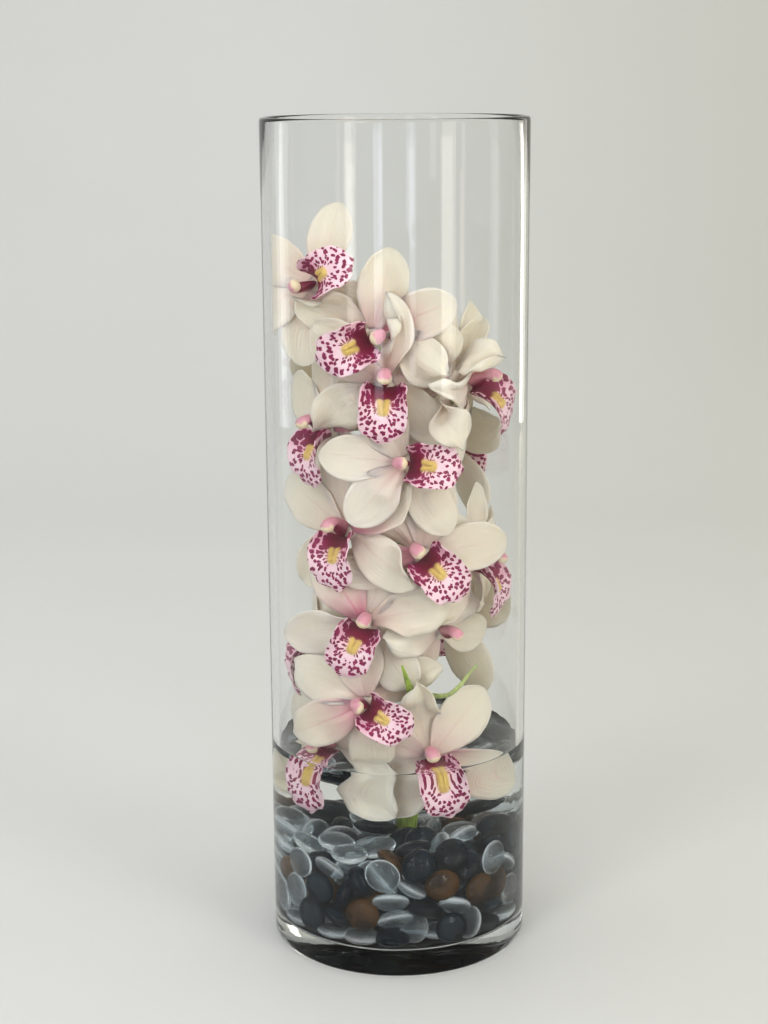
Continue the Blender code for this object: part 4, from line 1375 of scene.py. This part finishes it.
def lip_surface(draw, frill, ridge):
    """A fine grid over the lip in its bloom's own directions, with the values that its markings follow."""
    at = np.linspace(0, 1, LIP_FINE_ROWS)
    at = (0.5 * at + 0.5 * np.sin(at * math.pi / 2)) * (len(LIP_ROWS) - 1)
    rows = through(np.array(LIP_ROWS, dtype=float), at)
    end = np.clip((at / at[-1] - 0.8) / 0.2, 0, 1)
    rows[:, 2] *= np.sqrt(np.maximum(1 - end**2.4, 0.003))
    grid = lip_grid([LipRow(*row) for row in rows], LIP_FINE_COLS)
    t = np.linspace(-1, 1, LIP_FINE_COLS)[None]
    step = np.linalg.norm(np.diff(grid[:, LIP_FINE_COLS // 2], axis=0), axis=1)
    length = np.concatenate([[0], np.cumsum(step)])
    middle = np.interp(9.5, -rows[:, 1], length)
    y = (middle - length)[:, None] / MM + 0 * t
    x = rows[:, 2][:, None] * t
    fade = soft_step(y, -4.4, -2.0) * (1 - soft_step(y, 2.6, 4.2))
    wide = 1.5 + 0.16 * y
    ridges = np.exp(-(((np.abs(x) - wide) / 1.0) ** 2)) * fade
    ends = soft_step(np.abs(y + 2.6), 2.2, 0.6) * np.exp(-((x / 1.9) ** 2)) * 0.6
    low = np.exp(-((x / 3.2) ** 2)) * fade * 0.3
    rim = np.clip(np.maximum(np.abs(t) ** 6, (at / at[-1])[:, None] ** 14), 0, 1)
    phase = draw.uniform(0, 6)
    waves = np.sin(at[:, None] * 3.1 + phase + 2 * (t > 0)) + 0.6 * np.sin(at[:, None] * 5.3 + 2 * phase)
    tip = np.sin(x * 0.75 + phase) * (at / at[-1])[:, None] ** 8
    frills = (waves * np.abs(t) ** 5 + tip) * frill * np.clip(at[:, None], 0, 1)
    grid = grid + grid_normals(grid) * ((ridges + ends + low) * ridge + frills)[..., None]
    values = {
        "lip_x": x, "lip_y": y, "rim": rim,
        # The throat mask, where the lip's own crimson is filled in dark as painted shade too.
        "throat": soft_step(y, 2.6, 4.2) * (1 - soft_step(np.abs(x), 4.5, 8.0)),
        "side": soft_step(y, -2.5, 3.0) * soft_step(np.abs(x), 2.5, 5.5),
        "bare": soft_step(y, -9.0, -6.5) * soft_step(-y, 2.6, 4.4) * (1 - soft_step(np.abs(x), 1.2, 3.0)),
        "callus": np.clip((ridges + low * 1.2 + ends) * 1.5, 0, 1),
    }
    half = LIP_THICKNESS / 2 * (1 - 0.5 * rim)
    return grid, half, values


class ORCHID_OT_lips(bpy.types.Operator):
    """Makes the blotched lips with their frilled margins and ridged calluses"""

    bl_idname = "orchid.lips"
    bl_label = "Lips"

    def execute(self, context):
        look = context.scene.orchid.lips
        finish = lip_finish(look)
        draw = random.Random(TEPAL_SEED + 1)
        for number, bloom in enumerate(BLOOMS):
            if not bloom.lip:
                continue
            grid, half, values = lip_surface(draw, look.frill, look.ridge)
            points, faces = blade(to_world(grid, *bloom_frame(bloom)), half * bloom.size)
            heap = Heap()
            heap.add(
                points, faces, seed=number * 7.3, **{key: twice(value) for key, value in values.items()}
            )
            heap.piece(f"lip_{number + 1:02d}", finish, f"bloom_{number + 1:02d}_lip", "lip")
        return {"FINISHED"}


# The keel hangs below the column and takes its dark crimson underside, which stands partly for the shaded
# throat behind it.
COLUMN_KEEL = 5.4
COLUMN_SIDES = 24
COLUMN_STEPS = 30
NECK = 0.74
ROUNDING = 0.93


def column_ring(ahead, knot, share, turns):
    """One ring of a column that lies ahead, how much each point lies on its underside, whose dark crimson
    is partly painted shade, and how much on its cap.
    """
    forward, up, radius = knot
    lift = np.array((0, ahead[0], -ahead[1])) / math.hypot(ahead[0], ahead[1])
    bulge = math.exp(-(((share - 0.86) / 0.07) ** 2))
    neck = math.exp(-(((share - NECK) / 0.03) ** 2))
    wide = radius * (1.12 + 0.08 * bulge - 0.06 * neck)
    if share > ROUNDING:
        wide = max(0.35, wide * math.sqrt(max(0.02, 1 - ((share - ROUNDING) / 0.075) ** 2)))
    down = np.clip(-np.sin(turns), 0, 1)
    tall = wide * (0.86 - 0.42 * down * (share < 0.72))
    tall = tall + np.where(down > 0, COLUMN_KEEL * soft_step(0.6 - share, 0, 0.5), 0)
    ring = (
        np.array((0, up, forward)) + np.array((1, 0, 0)) * (wide * np.cos(turns))[:, None]
        + lift * (tall * np.sin(turns))[:, None]
    )
    hood = soft_step(np.sin(turns), 0.3, 0.75) * (1 - soft_step(share, 0.84, 0.92))
    # The underside mask, which takes the dark crimson that is partly painted shade.
    under = soft_step(down, 0.1, 0.4) * (share < NECK)
    return ring, under, (1 - hood) * float(soft_step(share, 0.71, NECK))


class ORCHID_OT_columns(bpy.types.Operator):
    """Makes the arched columns with their capped tips"""

    bl_idname = "orchid.columns"
    bl_label = "Columns"

    def execute(self, context):
        finish = column_finish(context.scene.orchid.columns)
        at = np.linspace(0, len(COLUMN) - 1, COLUMN_STEPS + 1)
        knots = through(np.array(COLUMN, dtype=float), at)
        turns = np.linspace(0, 2 * math.pi, COLUMN_SIDES, endpoint=False)
        rings = []
        for k, share in enumerate(at / at[-1]):
            ahead = knots[min(k + 1, COLUMN_STEPS)] - knots[max(k - 1, 0)]
            rings.append(column_ring(ahead, knots[k], share, turns))
        local, under, cap = (np.array(values) for values in zip(*rings))
        local = local.reshape(-1, 3) * MM
        faces = ring_faces(len(rings), COLUMN_SIDES)
        for number, bloom in enumerate(BLOOMS):
            heap = Heap()
            heap.add(to_world(local, *bloom_frame(bloom)), faces, under=under, cap=cap)
            heap.piece(f"column_{number + 1:02d}", finish, f"bloom_{number + 1:02d}_column", "column")
        return {"FINISHED"}


# Stage. A strip lamp is the way it stands, how wide and tall it is, the height of its foot, its light
# and its colour.
Strip = namedtuple("Strip", "azimuth width height foot light colour")
STRIPS = (
    Strip(-38, 0.15, 0.9, 0.14, 2.8, (1.0, 0.97, 0.90)),
    Strip(-14.5, 0.17, 0.9, 0.04, 3.0, (0.80, 0.85, 1.0)),
    Strip(14, 0.12, 0.9, 0.09, 2.6, (0.84, 0.88, 1.0)),
    Strip(44.5, 0.26, 0.9, 0.06, 4.4, (1.0, 0.95, 0.86)),
    Strip(58, 0.07, 0.9, 0.16, 2.8, (1.0, 0.88, 0.84)),
    Strip(-112, 0.30, 1.0, 0.02, 1.3, (0.92, 0.95, 1.0)),
    Strip(142, 0.20, 1.0, 0.02, 1.3, (1.0, 0.96, 0.88)),
)
STRIP_DISTANCE = 1.35
Panel = namedtuple("Panel", "place size power colour")
PANELS = (
    Panel((-0.9, -1.2, 1.6), 0.5, 6.0, (0.98, 0.99, 1.0)),
    Panel((1.2, -0.9, 1.3), 0.4, 2.5, (1.0, 0.94, 0.86)),
    Panel((0.1, 0.4, 2.2), 1.6, 3.0, (1.0, 0.99, 0.97)),
)
AIM = Vector((0, 0, 0.2))
LIGHT_SHARE = 0.89

# The camera, fitted to the vase in the photograph.
CAMERA_BACK = 0.89877
CAMERA_HEIGHT = 0.42572
CAMERA_PITCH = 0.2290
CAMERA_YAW = -0.007
CAMERA_ROLL = -0.007
LENS = 66.27
SENSOR = 36.0


def camera_matrix():
    """Where the camera stands and which way it looks."""
    forward = Vector((
        math.sin(CAMERA_YAW) * math.cos(CAMERA_PITCH), math.cos(CAMERA_YAW) * math.cos(CAMERA_PITCH),
        -math.sin(CAMERA_PITCH),
    ))
    level = Vector((math.cos(CAMERA_YAW), -math.sin(CAMERA_YAW), 0))
    upright = level.cross(forward)
    right = math.cos(CAMERA_ROLL) * level + math.sin(CAMERA_ROLL) * upright
    up = math.cos(CAMERA_ROLL) * upright - math.sin(CAMERA_ROLL) * level
    turn = Matrix((right, up, -forward)).transposed().to_4x4()
    return Matrix.Translation((0, -CAMERA_BACK, CAMERA_HEIGHT)) @ turn


def add_lamp(name, place, aim, wide, tall, power, colour):
    """A soft rectangular lamp, seen only through glass or as a reflection."""
    lamp = bpy.data.lights.new(name, "AREA")
    lamp.shape = "RECTANGLE"
    lamp.size, lamp.size_y = wide, tall
    lamp.energy = power
    lamp.color = colour
    made = bpy.data.objects.new(name, lamp)
    made.location = place
    made.rotation_mode = "QUATERNION"
    made.rotation_quaternion = (aim - Vector(place)).to_track_quat("-Z", "Y")
    made.visible_camera = False
    bpy.context.scene.collection.objects.link(made)


FLOOR_STEPS = 24


def add_floor(look):
    """A floor that bends up behind the vase."""
    line = [(-look.reach, 0.0)]
    line += [(look.bend + math.sin(a), 1 - math.cos(a)) for a in quarter_turn(FLOOR_STEPS)]
    line.append((look.bend + 1, look.reach))
    points = [(x, y, z) for y, z in line for x in (-look.reach, look.reach)]
    mesh = bpy.data.meshes.new("floor")
    faces = [(2 * k, 2 * k + 1, 2 * k + 3, 2 * k + 2) for k in range(len(line) - 1)]
    mesh.from_pydata(points, [], faces)
    mesh.shade_smooth()
    mesh.materials.append(floor_finish(look.floor))
    floor = bpy.data.objects.new("floor", mesh)
    bpy.context.scene.collection.objects.link(floor)


def add_lamps():
    """The upright strips, which draw the streaks on the glass, and the panels above."""
    for k, strip in enumerate(STRIPS):
        turn = math.radians(strip.azimuth)
        place = Vector((math.sin(turn), -math.cos(turn), 0)) * STRIP_DISTANCE
        place.z = strip.foot + strip.height / 2
        power = LIGHT_SHARE * strip.light * math.pi * strip.width * strip.height
        middle = Vector((0, 0, place.z))
        add_lamp(f"strip_{k}", place, middle, strip.width, strip.height, power, strip.colour)
    for k, panel in enumerate(PANELS):
        power = LIGHT_SHARE * panel.power
        add_lamp(f"panel_{k}", panel.place, AIM, panel.size, panel.size, power, panel.colour)


def add_air(scene, look):
    """The even light from all round."""
    world = scene.world or bpy.data.worlds.new("air")
    scene.world = world
    world.use_nodes = True
    air = world.node_tree.nodes["Background"]
    air.inputs["Color"].default_value = (*look.air, 1)
    air.inputs["Strength"].default_value = look.air_strength


def add_camera(scene):
    """The camera, standing as it did for the photograph."""
    camera = bpy.data.objects.new("camera", bpy.data.cameras.new("camera"))
    camera.data.lens, camera.data.sensor_width = LENS, SENSOR
    camera.data.clip_start = 0.01
    camera.matrix_world = camera_matrix()
    scene.collection.objects.link(camera)
    scene.camera = camera


class ORCHID_OT_stage(bpy.types.Operator):
    """Makes the floor, the lamps, the surrounding light and the camera"""

    bl_idname = "orchid.stage"
    bl_label = "Stage"

    def execute(self, context):
        scene = context.scene
        look = scene.orchid.stage
        add_floor(look)
        add_lamps()
        add_air(scene, look)
        add_camera(scene)
        scene.view_settings.view_transform = "Standard"
        scene.view_settings.look = "Medium High Contrast"
        return {"FINISHED"}


class ORCHID_PT_panel(bpy.types.Panel):
    """Lists the pieces in the 3D view's sidebar"""

    bl_idname = "ORCHID_PT_panel"
    bl_label = "Orchid"
    bl_space_type = "VIEW_3D"
    bl_region_type = "UI"
    bl_category = "Orchid"

    def draw(self, context):
        for operator in OPERATORS:
            self.layout.operator(operator.bl_idname, text=operator.bl_label)
        for name in ("vase", "water", "gems", "stem", "tepals", "lips", "columns", "stage"):
            box = self.layout.box()
            box.label(text=name.capitalize())
            settings = getattr(context.scene.orchid, name)
            for key in settings.__annotations__:
                box.prop(settings, key)


OPERATORS = (
    ORCHID_OT_vase, ORCHID_OT_water, ORCHID_OT_gems, ORCHID_OT_stem, ORCHID_OT_tepals, ORCHID_OT_lips,
    ORCHID_OT_columns, ORCHID_OT_stage,
)
SETTINGS = (
    VaseSettings, WaterSettings, GemSettings, StemSettings, TepalSettings, LipSettings, ColumnSettings,
    StageSettings, OrchidSettings,
)


def register():
    for kind in (*SETTINGS, *OPERATORS, ORCHID_PT_panel):
        bpy.utils.register_class(kind)
    bpy.types.Scene.orchid = PointerProperty(
        type=OrchidSettings, name="Orchid", description="Sizes and colours of the orchid and its vase"
    )


def unregister():
    del bpy.types.Scene.orchid
    for kind in reversed((*SETTINGS, *OPERATORS, ORCHID_PT_panel)):
        bpy.utils.unregister_class(kind)


def main():
    """Makes every piece and the stage."""
    register()
    bpy.ops.orchid.vase()
    bpy.ops.orchid.water()
    bpy.ops.orchid.gems()
    bpy.ops.orchid.stem()
    bpy.ops.orchid.tepals()
    bpy.ops.orchid.lips()
    bpy.ops.orchid.columns()
    bpy.ops.orchid.stage()


if __name__ == "__main__":
    main()
